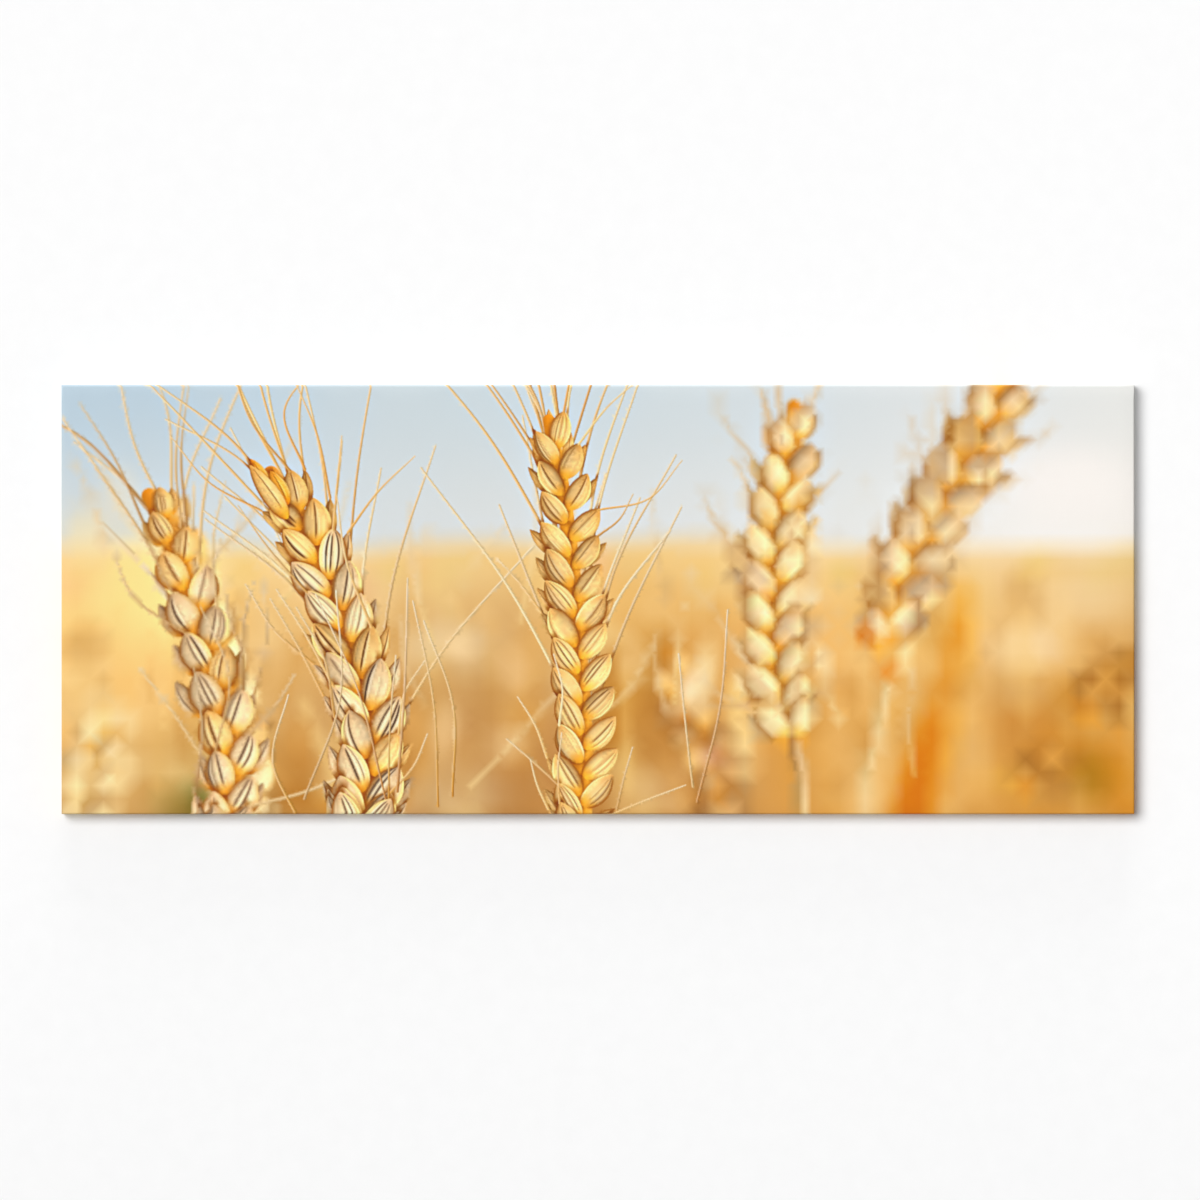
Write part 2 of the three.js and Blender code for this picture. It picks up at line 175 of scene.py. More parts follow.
def grain(L, rng, base, tip, w, look, bend=0.0, stripes=(), rim=0.0, shade=1.0, fat=0.42, alpha=1.0, point=0.95):
    """One grain in its husk: round at the base, pointed at the tip, ribbed along its length."""
    c_base, c_mid, c_tip, c_groove = GRAIN[look]
    (bx, by), (tx, ty) = base, tip
    dx, dy = tx - bx, ty - by
    n = math.hypot(dx, dy)
    ex, ey = dx / n, dy / n
    pad = w * 0.9 + 3
    got = L.window(min(bx, tx) - pad, min(by, ty) - pad, max(bx, tx) + pad, max(by, ty) + pad)
    if got is None:
        return
    where, X, Y = got
    px, py = X - bx, Y - by
    s = (px * ex + py * ey) / n
    q = -px * ey + py * ex - bend * w * 4 * s * (1 - s)
    f = np.where(s < fat, np.sqrt(np.clip(1 - ((s - fat) / fat) ** 2, 0, 1)),
                 np.clip(1 - (np.clip(s - fat, 0, 9) / (1 - fat)) ** 2, 0, 1) ** point)
    half = w / 2 * f + 1e-6
    # a soft shadow, only on what is already there
    sh = np.clip(1.3 - np.maximum(np.abs(q) / (w / 2 * np.maximum(f, 0.35) + 1e-6) - 0.5, 0) * 1.5, 0, 1)
    sh = sh * ramp(-0.20, 0.02, s) * (1 - ramp(0.98, 1.16, s)) * 0.62 * alpha * L.px[where][..., 3]
    L.over(where, np.broadcast_to(tone(150, 88, 28) * shade, s.shape + (3,)), sh)
    d = (half - np.abs(q)) * L.s
    end = np.minimum(s, 1 - s) * n * L.s
    a = np.clip(np.minimum(d, end) + 0.5, 0, 1) * (f > 0)
    tc = np.clip(q / half, -1, 1)
    phi = np.arcsin(tc)
    nz = np.cos(phi)
    k1 = ramp(0.0, 0.40, s)[..., None]
    k2 = ramp(0.55, 1.0, s)[..., None]
    col = c_base * (1 - k1) + c_mid * k1
    col = col * (1 - k2) + c_tip * k2
    fine = np.zeros_like(phi)
    for _ in range(4):
        fine += rng.uniform(0.012, 0.032) * np.sin(phi * rng.uniform(8, 26) + rng.uniform(0, 6.28) + s * rng.uniform(-1, 1))
    side = 1.0 if rim >= 0 else -1.0
    lean = 0.115 * tc * side
    light = 0.84 + 0.20 * nz ** 0.8 + fine * ramp(0.05, 0.3, s) + lean
    col = col * (light * shade)[..., None]
    e = (ramp(0.62, 1.0, np.abs(tc)) * (0.55 + 0.3 * (1 - s)) * (0.72 - 0.22 * tc * side))[..., None]
    col = col * (1 - e) + tone(176, 106, 36) * shade * e
    for at, wide, dark, lo, hi in stripes:
        g = np.exp(-((phi - at) / wide) ** 2) * dark * ramp(lo, lo + 0.22, s) * (1 - ramp(hi - 0.07, hi + 0.02, s))
        g = np.clip(g, 0, 1)[..., None]
        col = col * (1 - g) + c_groove * g
        h = (np.exp(-((phi - at - 2.0 * wide * side) / (wide * 0.9)) ** 2) * dark * 0.34 * ramp(lo, lo + 0.25, s) * (1 - ramp(0.8, 1, s)))[..., None]
        col = col * (1 - h) + tone(255, 246, 226) * h
    if rim:
        g = (ramp(0.66, 0.92, tc * side) * abs(rim) * ramp(-0.05, 0.3, s) * (1 - ramp(0.93, 1.0, tc * side) * 0.4))[..., None]
        col = col * (1 - g) + tone(255, 228, 158) * g
    L.over(where, np.clip(col, 0, 1).astype(np.float32), a * alpha)


def bristle(L, points, w0, w1, c0, c1=None, alpha=1.0, lit=0.4):
    """A long thin awn through the points, from its root to its end."""
    c1 = c0 if c1 is None else c1
    line, along = spline(points)
    total = along[-1]
    pad = max(w0, w1) + 3
    got = L.window(line[:, 0].min() - pad, line[:, 1].min() - pad, line[:, 0].max() + pad, line[:, 1].max() + pad)
    if got is None:
        return
    (si, sj), X, Y = got
    shape = (si.stop - si.start, sj.stop - sj.start)
    cover = np.zeros(shape, np.float32)
    far = np.zeros(shape, np.float32)
    side = np.zeros(shape, np.float32)
    for i in range(len(line) - 1):
        (xa, ya), (xb, yb) = line[i], line[i + 1]
        wa = w0 + (w1 - w0) * along[i] / total
        wb = w0 + (w1 - w0) * along[i + 1] / total
        r = max(wa, wb) / 2 + 1.2
        g = L.window(min(xa, xb) - r, min(ya, yb) - r, max(xa, xb) + r, max(ya, yb) + r)
        if g is None:
            continue
        (ii, jj), x, y = g
        vx, vy = xb - xa, yb - ya
        l2 = vx * vx + vy * vy + 1e-9
        t = np.clip(((x - xa) * vx + (y - ya) * vy) / l2, 0, 1)
        dist = np.hypot(x - (xa + t * vx), y - (ya + t * vy))
        sg = (vx * (y - ya) - vy * (x - xa)) / math.sqrt(l2)
        hf = (wa + (wb - wa) * t) / 2
        c = np.clip((hf - dist) * L.s + 0.5, 0, 1) * np.clip(hf * 2 * L.s, 0, 1)
        loc = (slice(ii.start - si.start, ii.stop - si.start), slice(jj.start - sj.start, jj.stop - sj.start))
        better = c > cover[loc]
        cover[loc] = np.where(better, c, cover[loc])
        far[loc] = np.where(better, (along[i] + t * (along[i + 1] - along[i])) / total, far[loc])
        side[loc] = np.where(better, sg / np.maximum(hf, 0.3), side[loc])
    k = far[..., None]
    col = c0 * (1 - k) + c1 * k
    g = (np.clip(side, -1, 1) * lit)[..., None]
    col = np.where(g > 0, col * (1 - g * 0.45), col + (1 - col) * (-g) * 0.75)
    L.over((si, sj), np.clip(col, 0, 1).astype(np.float32), cover * alpha)


def blob(L, x, y, rx, ry, lean, c, k=1.0, power=1.6):
    """A soft patch."""
    r = 2.6 * max(rx, ry)
    got = L.window(x - r, y - r, x + r, y + r)
    if got is None:
        return
    where, X, Y = got
    t = math.radians(lean)
    p = (X - x) * math.cos(t) + (Y - y) * math.sin(t)
    q = -(X - x) * math.sin(t) + (Y - y) * math.cos(t)
    a = k * np.exp(-0.7 * ((p / rx) ** 2 + (q / ry) ** 2) ** power)
    L.over(where, np.broadcast_to(tone(*c), a.shape + (3,)).astype(np.float32), a)


def mixed(stops, t):
    t = np.clip(t, 0, 1)
    xs = [p for p, _ in stops]
    return np.stack([np.interp(t, xs, [c[k] / 255 for _, c in stops]) for k in range(3)], -1)


def backdrop(s):
    """Sky over an out-of-focus field."""
    L = Layer(s)
    _, x, y = L.window(-EDGE, -EDGE, PW + EDGE, PH + EDGE)
    x, y = x[:, : L.w], y[: L.h]
    u, v = x / PW, y / PH
    top = mixed([(0, (190, 210, 223)), (0.15, (197, 214, 224)), (0.3, (207, 219, 224)), (0.5, (211, 222, 226)),
                 (0.65, (217, 225, 228)), (0.8, (226, 230, 230)), (1, (236, 236, 232))], u)
    low_ = mixed([(0, (216, 222, 222)), (0.25, (220, 225, 225)), (0.5, (226, 228, 226)), (0.75, (236, 236, 232)),
                  (0.9, (250, 246, 240)), (1, (250, 244, 236))], u)
    k = ramp(0, 0.37, v)[..., None]
    sky = top * (1 - k) + low_ * k
    haze = mixed([(0, (244, 214, 152)), (0.12, (250, 222, 166)), (0.25, (240, 210, 158)), (0.5, (236, 202, 142)), (0.7, (244, 212, 154)),
                  (0.85, (242, 214, 166)), (1, (234, 202, 146))], u)
    mid = mixed([(0, (250, 210, 142)), (0.12, (238, 196, 130)), (0.28, (222, 180, 120)), (0.42, (214, 172, 118)), (0.55, (222, 172, 104)), (0.7, (238, 190, 122)),
                 (0.85, (238, 192, 124)), (1, (222, 178, 116))], u)
    bot = mixed([(0, (234, 188, 128)), (0.14, (190, 152, 92)), (0.28, (206, 160, 104)), (0.42, (208, 160, 98)), (0.55, (212, 158, 84)), (0.7, (230, 176, 104)),
                 (0.85, (220, 162, 84)), (1, (216, 160, 82))], u)
    a = ramp(0.38, 0.62, v)[..., None]
    b = ramp(0.62, 1.02, v)[..., None]
    field = haze * (1 - a) + mid * a
    field = field * (1 - b) + bot * b
    edge = 0.372 + 0.010 * np.sin(u * 9) + 0.006 * np.sin(u * 27 + 1)
    m = ramp(-0.045, 0.045, v - edge)[..., None]
    base = (sky * (1 - m) + field * m).astype(np.float32)

    rng = np.random.default_rng(11)
    # a far row of ears along the edge of the field
    L = Layer(s)
    for _ in range(70):
        cx = rng.uniform(-20, PW + 20)
        blob(L, cx, rng.uniform(176, 206), rng.uniform(7, 18), rng.uniform(9, 26), rng.uniform(-25, 25),
             (rng.integers(226, 246), rng.integers(184, 212), rng.integers(112, 160)), rng.uniform(0.15, 0.5))
    base = L.onto(base, 7)
    # soft ears and stalks in the middle distance
    L = Layer(s)
    for _ in range(120):
        cy = rng.uniform(215, 430)
        d = (cy - 200) / 230
        warm = rng.uniform(0, 1)
        c = tone(236, 204, 152) * (1 - warm) + tone(208, 150, 78) * warm
        if rng.uniform() < 0.3:
            c = tone(248, 224, 178)
        blob(L, rng.uniform(-20, PW + 20), cy, rng.uniform(8, 16) * (0.7 + d), rng.uniform(18, 46) * (0.7 + 0.6 * d),
             rng.normal(0, 22), tuple(c * 255), rng.uniform(0.14, 0.46))
    base = L.onto(base, 8)
    # the stronger patches
    L = Layer(s)
    for row in [
        (90, 215, 60, 60, 0, (255, 226, 156), 0.75), (60, 300, 60, 40, 0, (250, 208, 140), 0.55),
        (398, 265, 46, 26, 10, (238, 218, 180), 0.75), (388, 405, 50, 22, 0, (230, 208, 168), 0.7),
        (440, 330, 34, 40, 0, (206, 160, 98), 0.55), (578, 318, 34, 60, 10, (206, 154, 72), 0.7),
        (505, 260, 30, 46, 0, (214, 172, 112), 0.5), (330, 380, 34, 34, 0, (214, 168, 100), 0.5),
        (540, 215, 60, 26, 0, (236, 194, 128), 0.5), (835, 240, 46, 40, 0, (236, 196, 124), 0.6),
        (124, 416, 24, 18, 0, (120, 122, 66), 0.75), (58, 112, 18, 26, 0, (238, 226, 200), 0.5), (24, 150, 20, 26, 0, (248, 226, 176), 0.5), (255, 412, 28, 14, 0, (206, 150, 72), 0.6),
        (960, 262, 36, 22, 0, (242, 218, 184), 0.75), (966, 320, 34, 32, -10, (206, 146, 76), 0.75),
        (1030, 318, 36, 26, 0, (208, 150, 62), 0.6), (995, 372, 30, 26, 0, (202, 128, 28), 0.7),
        (1034, 390, 30, 22, 0, (180, 134, 38), 0.7), (985, 400, 34, 16, 0, (190, 144, 84), 0.7),
        (962, 393, 26, 14, 0, (232, 184, 92), 0.7), (1012, 100, 60, 34, 0, (254, 248, 242), 0.8),
        (1010, 215, 60, 26, 0, (240, 214, 172), 0.5), (840, 330, 34, 50, 0, (226, 184, 120), 0.5),
        (905, 215, 22, 30, 0, (236, 200, 134), 0.6), (736, 360, 24, 60, 0, (220, 164, 84), 0.5),
    ]:
        blob(L, *row[:6], min(0.95, row[6] * 1.2))
    for _ in range(46):
        c = [(255, 232, 176), (246, 214, 158), (198, 142, 66), (186, 128, 58), (236, 186, 110)][rng.integers(0, 5)]
        blob(L, rng.uniform(0, PW), rng.uniform(215, 425), rng.uniform(7, 20), rng.uniform(10, 26), rng.uniform(-30, 30), c, rng.uniform(0.15, 0.5))
    base = L.onto(base, 5)
    # a near, very soft ear at the right, and its bright edge
    L = Layer(s)
    bristle(L, [(902, 206), (892, 280), (866, 366), (850, 450)], 18, 52, tone(238, 180, 84), tone(224, 150, 50), 0.85, 0.0)
    bristle(L, [(896, 236), (884, 300), (860, 376), (846, 450)], 10, 30, tone(228, 152, 44), tone(214, 126, 22), 0.9, 0.0)
    bristle(L, [(915, 240), (906, 300), (886, 384)], 7, 5, tone(255, 206, 110), None, 0.9, 0.0)
    bristle(L, [(676, 300), (676, 372), (674, 430)], 18, 18, tone(255, 226, 156), None, 0.85, 0.0)
    base = L.onto(base, 6.5)
    return base


def ear(L, rng, axis, gap, length, width, lean, look, start=6.0, end=None, stripes=0.8, tips_look=None, bright=0.5,
        taper=0.72, out=0.10, mates=0.8, shade=1.0, blunt=0.72, lag=0.45, core=(232, 162, 66), glow=0.6):
    """An ear of wheat from the side: two rows of grains up a stalk, each overlapping the one above.
    lean is the left and the right row's angle; the result is where the tips are and which way they point."""
    line, along = spline(axis, 2.0)
    total = along[-1]
    stop = total if end is None else end

    def at(t):
        e = 7.0
        p = [np.array([np.interp(v, along, line[:, 0]), np.interp(v, along, line[:, 1])]) for v in (t, max(t - e, 0), min(t + e, total))]
        d = p[1] - p[2]
        return p[0], d / (np.hypot(*d) + 1e-9)

    keep = along <= stop
    inner = [tuple(p) for p in line[keep][4::8]]
    if len(inner) > 3:
        bristle(L, inner, width * 0.5, width * 0.95, tone(*core) * shade, None, 1.0, 0.25)
    rows = []
    n = int((stop - start) / gap) + 1
    for k in range(n):
        rows.append((start + k * gap, 1))
        rows.append((start + (k + lag) * gap, -1))
    tips = []
    for t, side in rows:
        if t > stop + gap:
            continue
        f = np.clip((t - start) / max(stop - start, 1), 0, 1)
        size = np.interp(f, [0, 0.14, 0.4, 0.86, 1], [taper, 0.90, 1.0, 1.0, 0.9]) * rng.uniform(0.94, 1.06)
        ln, w = length * size, width * size * rng.uniform(0.94, 1.06)
        p, up = at(min(t + ln * 0.9, total))
        right = np.array([-up[1], up[0]])
        tilt = math.radians(lean[0 if side < 0 else 1] * rng.uniform(0.86, 1.14)) * np.interp(f, [0, 0.15], [0.55, 1.0])
        way = up * math.cos(tilt) + right * side * math.sin(tilt)
        base = p + right * side * w * out
        kind = look
        if tips_look is not None and (f < 0.12 or rng.uniform() < 0.22):
            kind = tips_look
        if rng.uniform() < mates:
            ta = tilt + math.radians(rng.uniform(4, 12))
            wm = up * math.cos(ta) + right * side * math.sin(ta)
            b2 = base + right * side * w * rng.uniform(0.30, 0.46) + up * ln * rng.uniform(-0.02, 0.10)
            l2 = ln * rng.uniform(0.80, 0.95)
            grain(L, rng, b2, b2 + wm * l2, w * rng.uniform(0.46, 0.62), kind, bend=0.10 * side, point=blunt + 0.1,
                  stripes=[(rng.uniform(-0.5, 0.5), 0.12, 0.6 * stripes, 0.1, 0.97)], rim=0.6 * side * rng.uniform(0, 1), shade=shade * rng.uniform(0.84, 0.97))
            tips.append((b2 + wm * l2, wm, side))
        marks = []
        if stripes > 0:
            first = rng.uniform(-0.85, 0.15)
            for j in range(rng.integers(1, 4)):
                marks.append((first + j * rng.uniform(0.34, 0.5), rng.uniform(0.05, 0.10) * (1.0 if j else 1.25), stripes * rng.uniform(0.35, 0.95), rng.uniform(0.0, 0.14), rng.uniform(0.88, 0.98)))
        rim = (1 if rng.uniform() < 0.75 else -1) * bright * rng.uniform(0.4, 1.2)
        grain(L, rng, base, base + way * ln, w, kind, bend=rng.uniform(0.02, 0.10) * side, stripes=marks,
              rim=rim, shade=shade * rng.uniform(0.94, 1.05), fat=rng.uniform(0.44, 0.52), point=blunt)
        if rng.uniform() < glow:
            g = base - up * w * rng.uniform(0.0, 0.3) + right * side * w * rng.uniform(-0.1, 0.3)
            blob(L, g[0], g[1], w * 0.20, w * 0.26, 0, (255, 190, 84), 0.6, 1.2)
        tips.append((base + way * ln * 0.97, way, side))
    return tips


def fan(L, rng, tips, chance, length, w, colours, spread=12, curve=0.12, alpha=1.0, droop=0.0):
    """Bristles from the tips of the grains."""
    for p, way, side in tips:
        if rng.uniform() > chance:
            continue
        ln = length * rng.uniform(0.55, 1.25)
        a = math.radians(rng.normal(0, spread))
        wx = way[0] * math.cos(a) - way[1] * math.sin(a)
        wy = way[0] * math.sin(a) + way[1] * math.cos(a)
        # bristles turn towards the sky
        wx = wx * 0.72
        n = math.hypot(wx, wy)
        wx, wy = wx / n, wy / n
        c = rng.normal(0, curve) * ln
        nx, ny = -wy, wx
        p1 = (p[0] + wx * ln * 0.5 + nx * c, p[1] + wy * ln * 0.5 + ny * c)
        p2 = (p[0] + wx * ln, p[1] + wy * ln + droop * ln)
        c0 = colours[rng.integers(0, len(colours))]
        bristle(L, [p, p1, p2], w * rng.uniform(1.0, 1.5), w * 0.55, c0, c0 * 0.2 + tone(240, 220, 184) * 0.8, alpha)


SKY_BRISTLES = [(236, 190, 122), (216, 168, 102), (250, 216, 158), (228, 178, 108)]


def awns(L, rng, axis, n, w, colours, end_colour=(240, 218, 180), alpha=0.95, lit=0.45, reach=190.0, top=0.8):
    """Long bristles that rise from an ear and spread to both sides."""
    line, along = spline(axis)
    for i in range(n):
        k = min(int(np.searchsorted(along, rng.uniform(0.02, top) * along[-1])), len(line) - 3)
        x, y = line[k]
        dx, dy = line[k] - line[k + 2]
        size = math.hypot(dx, dy)
        side = 1 if i % 2 else -1
        a = side * math.radians(rng.uniform(7, 33))
        wx = (dx * math.cos(a) - dy * math.sin(a)) / size
        wy = (dx * math.sin(a) + dy * math.cos(a)) / size
        ln = reach * rng.uniform(0.65, 1.3)
        bend = (rng.normal(0, 0.035) - side * 0.035) * ln
        points = [(x + side * 8, y), (x + wx * ln * 0.5 - wy * bend, y + wy * ln * 0.5 + wx * bend), (x + wx * ln, y + wy * ln)]
        bristle(L, points, w * rng.uniform(1.05, 1.55), w * 0.75, tone(*colours[rng.integers(0, len(colours))]), tone(*end_colour), alpha, lit)


def loose(L, rng, n, w, colours, across, down, length, tilt=22.0, alpha=0.75, lit=0.3):
    """Loose bristles that cross the picture at all slants."""
    for _ in range(n):
        x, y = rng.uniform(*across), rng.uniform(*down)
        a = math.radians(rng.normal(0, tilt))
        ln = rng.uniform(*length)
        bend = rng.normal(0, 0.07) * ln
        wx, wy = math.sin(a), -math.cos(a)
        points = [(x, y), (x + wx * ln * 0.5 - wy * bend, y + wy * ln * 0.5 + wx * bend), (x + wx * ln, y + wy * ln)]
        bristle(L, points, w * rng.uniform(0.8, 1.3), w * 0.6, tone(*colours[rng.integers(0, len(colours))]), tone(240, 216, 176), alpha, lit)


def paint():
    """The whole picture, as display colours, two samples to a unit."""
    base = backdrop(1.0)
    # the field is a little deeper low in the middle
    low = ramp(230, 380, np.arange(base.shape[0])[:, None] - 26.0) * ramp(140, 300, np.arange(base.shape[1])[None, :] - 26.0)
    low = low * (1 - ramp(600, 780, np.arange(base.shape[1])[None, :] - 26.0))
    base = base * (1 - 0.075 * low[..., None] * np.array([0.8, 1.1, 0.9]))

    # ears far off in the field, more out of focus the further they are
    rng = np.random.default_rng(5)
    L = Layer(1.0)
    for x, y, h, w, lean_, look in [
        (392, 244, 90, 30, 14, "pale"), (436, 262, 110, 30, -10, "warm"), (470, 236, 100, 26, 8, "warm"), (350, 300, 120, 30, -12, "warm"),
        (404, 350, 90, 34, 6, "pale"), (566, 262, 120, 30, 10, "deep"), (30, 236, 110, 32, 6, "pale"), (232, 330, 110, 28, -6, "deep"),
        (900, 248, 90, 30, 4, "warm"), (950, 236, 90, 28, -8, "pale"), (1010, 300, 110, 32, 20, "deep"), (760, 300, 130, 30, -6, "warm"), (846, 236, 90, 24, 8, "warm"),
        (1050, 330, 100, 34, -16, "amber"), (560, 350, 90, 30, -8, "pale"), (290, 300, 120, 28, 8, "pale")]:
        dx = math.tan(math.radians(lean_)) * h
        ear(L, rng, [(x, y), (x - dx * 0.5, y + h * 0.5), (x - dx, y + h)], 26, 36, w * 0.75, (26, 26), look, stripes=0.3, bright=0.4, glow=0.4)
    base = L.onto(base, 9.0) * 0.55 + base * 0.45
    L = Layer(1.0)
    for _ in range(60):
        x0 = rng.uniform(-20, PW + 20)
        y0 = rng.uniform(190, 330)
        lean_ = rng.normal(0, 0.25)
        ln = rng.uniform(60, 190)
        c = [(255, 226, 160), (246, 206, 136), (206, 150, 78), (232, 186, 118), (190, 136, 70)][rng.integers(0, 5)]
        bristle(L, [(x0, y0), (x0 - lean_ * ln * 0.5, y0 + ln * 0.5), (x0 - lean_ * ln, y0 + ln)], rng.uniform(3, 8), rng.uniform(2, 6), tone(*c), None, rng.uniform(0.25, 0.6), 0.0)
    base = L.onto(base, 4.5)

    rng = np.random.default_rng(6)
    L = Layer(1.0)
    ear(L, rng, [(46, 312), (40, 350), (28, 400), (20, 450)], 30, 42, 31, (30, 26), "pale", stripes=0.3, tips_look="pale", bright=1.0, glow=0.9)
    for x, y, r in [(66, 340, 11), (70, 382, 11), (38, 318, 12), (16, 396, 13)]:
        blob(L, x, y, r, r * 1.3, 0, (248, 224, 172), 0.65)
    for x, y, rx, ry, t_, c, k in [(414, 306, 44, 52, 10, (196, 148, 92), 0.42), (428, 384, 56, 34, -8, (190, 140, 84), 0.4), (596, 330, 20, 44, 8, (192, 138, 78), 0.5),
                                   (640, 300, 11, 40, 12, (255, 238, 194), 0.8), (676, 388, 13, 44, 6, (255, 236, 190), 0.75), (690, 330, 10, 40, 8, (246, 204, 134), 0.5),
                                   (396, 262, 16, 12, 20, (250, 222, 176), 0.6), (452, 286, 15, 22, -14, (248, 216, 168), 0.5), (384, 346, 14, 24, 12, (246, 214, 164), 0.5),
                                   (446, 360, 18, 20, 8, (238, 206, 160), 0.5), (572, 276, 14, 24, 8, (246, 216, 168), 0.5), (958, 250, 22, 40, 10, (250, 220, 164), 0.45),
                                   (1000, 236, 14, 44, -14, (244, 210, 152), 0.45), (964, 360, 30, 20, 0, (206, 150, 80), 0.4)]:
        blob(L, x, y, rx, ry, t_, c, k)
    ear(L, rng, [(606, 262), (622, 322), (652, 376), (664, 446)], 28, 36, 25, (24, 30), "dusk", stripes=0.4, tips_look="warm", bright=0.7)
    blob(L, 628, 306, 12, 20, 0, (248, 226, 190), 0.8)
    blob(L, 650, 372, 12, 12, 0, (214, 166, 134), 0.7)
    ear(L, rng, [(1086, 262), (1056, 292), (1024, 326)], 24, 32, 25, (30, 30), "deep", stripes=0.3, bright=0.6, shade=0.92)
    ear(L, rng, [(1010, 352), (990, 378), (960, 402)], 24, 30, 20, (28, 28), "deep", stripes=0.2, bright=0.5, shade=0.95)
    base = L.onto(base, 4.6)

    # the ear at the right edge of the sky, leaning in
    gold = [(222, 176, 116), (206, 156, 96), (236, 200, 150)]
    rng = np.random.default_rng(21)
    L = Layer(1.0)
    awns(L, rng, [(914, 62), (862, 150), (827, 240)], 9, 4.6, gold, (232, 206, 170), 0.8, reach=130.0)
    bristle(L, [(826, 300), (817, 346), (803, 400), (799, 446)], 8, 8, tone(244, 214, 156), tone(240, 204, 140), 1.0, 0.5)
    tips = ear(L, rng, [(962, -40), (940, 12), (914, 62), (888, 104), (862, 150), (842, 196), (827, 240), (815, 288), (812, 304)], 35, 50, 33,
               (24, 28), "grey", start=2, end=292, stripes=0.9, tips_look="warm", bright=1.0, out=0.12, mates=0.9, glow=1.0, blunt=0.80, core=(226, 152, 56))
    for x, y, rx, ry, c in [(846, 270, 7, 16, (255, 232, 180)), (878, 178, 8, 9, (255, 236, 190)), (872, 126, 6, 12, (255, 232, 176)), (900, 128, 8, 5, (252, 222, 160)),
                            (940, 48, 8, 9, (252, 224, 170)), (804, 250, 9, 12, (226, 138, 50)), (826, 286, 8, 10, (236, 158, 70))]:
        blob(L, x, y, rx, ry, 0, c, 0.8)
    fan(L, rng, tips, 0.22, 120, 3.4, [tone(*c) for c in gold], 16, 0.10, 0.75)
    base = L.onto(base, 2.7)

    # its neighbour
    rng = np.random.default_rng(34)
    L = Layer(1.0)
    awns(L, rng, [(730, 40), (714, 160), (714, 262)], 9, 4.4, gold, (236, 214, 182), 0.8, reach=130.0)
    bristle(L, [(722, 330), (736, 372), (744, 446)], 13, 8, tone(206, 150, 92), tone(244, 212, 146), 1.0, 0.6)
    tips = ear(L, rng, [(733, 14), (730, 60), (723, 110), (714, 160), (714, 212), (714, 262), (720, 312), (730, 352)], 34, 47, 30,
               (28, 26), "pale", start=8, end=322, stripes=0.75, tips_look="grey", bright=1.0, out=0.13, mates=1.0, glow=1.0, blunt=0.80, shade=1.0, core=(232, 162, 68))
    for x, y, rx, ry, c in [(733, 34, 6, 8, (250, 224, 176)), (748, 210, 6, 9, (255, 238, 200)), (752, 160, 6, 10, (255, 232, 184)), (760, 274, 7, 13, (255, 236, 190)), (738, 118, 6, 8, (246, 190, 96)),
                            (716, 322, 5, 8, (250, 222, 168)), (706, 132, 5, 12, (240, 196, 120))]:
        blob(L, x, y, rx, ry, 0, c, 0.75)
    fan(L, rng, tips, 0.22, 110, 3.0, [tone(*c) for c in gold], 18, 0.10, 0.75)
    base = L.onto(base, 1.9)

    # soft bristles crossing in between
    rng = np.random.default_rng(40)
    L = Layer(1.0)
    loose(L, rng, 20, 4.2, [(238, 206, 158), (224, 184, 126), (246, 214, 150)], (0, PW), (150, 430), (80, 170))
    base = L.onto(base, 2.0)
    base = finer(base)

    # the ear at the left: its far row is soft, its near row nearly sharp
    rng = np.random.default_rng(52)
    axis_a = [(84, 104), (104, 140), (122, 190), (138, 246), (154, 300), (164, 350), (168, 400), (162, 462)]
    cs = [(214, 170, 112), (196, 152, 100), (232, 196, 140)]
    L = Layer(2.0)
    ear(L, rng, [(p[0] + 9, p[1] + 6) for p in axis_a], 38, 46, 27, (6, 24), "pale", start=8, stripes=0.25, tips_look="warm", bright=1.0, out=0.30, mates=0.4, glow=0.8)
    base = L.onto(base, 2.0)
    L = Layer(2.0)
    awns(L, rng, axis_a, 12, 2.8, cs, reach=190.0)
    tips = ear(L, rng, axis_a, 42, 48, 32, (16, 25), "grey", start=6, stripes=1.0, tips_look="warm", bright=0.9, out=0.10, mates=0.75, blunt=0.80, lag=0.5, glow=0.9)
    fan(L, rng, tips, 0.45, 120, 2.6, [tone(*c) for c in cs], 14, 0.08, 0.9)
    base = L.onto(base, 0.8)

    # the second ear, sharp, with its bristles behind it
    rng = np.random.default_rng(63)
    axis_b = [(205, 82), (232, 122), (254, 168), (272, 214), (287, 260), (300, 312), (309, 356), (306, 400), (298, 452)]
    L = Layer(2.0)
    awns(L, rng, axis_b, 22, 2.3, SKY_BRISTLES, reach=235.0)
    tips = ear(L, rng, axis_b, 33.5, 54, 31, (27, 25), "grey", start=16, stripes=1.0, tips_look="warm", bright=1.0, out=0.12, mates=0.85, blunt=0.80, lag=0.5, glow=0.8, taper=0.84)
    fan(L, rng, tips[:-6], 0.30, 110, 2.2, [tone(*c) for c in SKY_BRISTLES], 14, 0.07, 0.95)
    for b_, t_, w in [((206, 102), (189, 74), 14), ((226, 120), (209, 86), 17), ((226, 134), (188, 80), 19)]:
        grain(L, rng, b_, t_, w, "gold" if w < 18 else "warm", stripes=[(0.2, 0.08, 0.5, 0.1, 0.95)], rim=0.6, point=0.8)
    base = L.onto(base, 0.3)

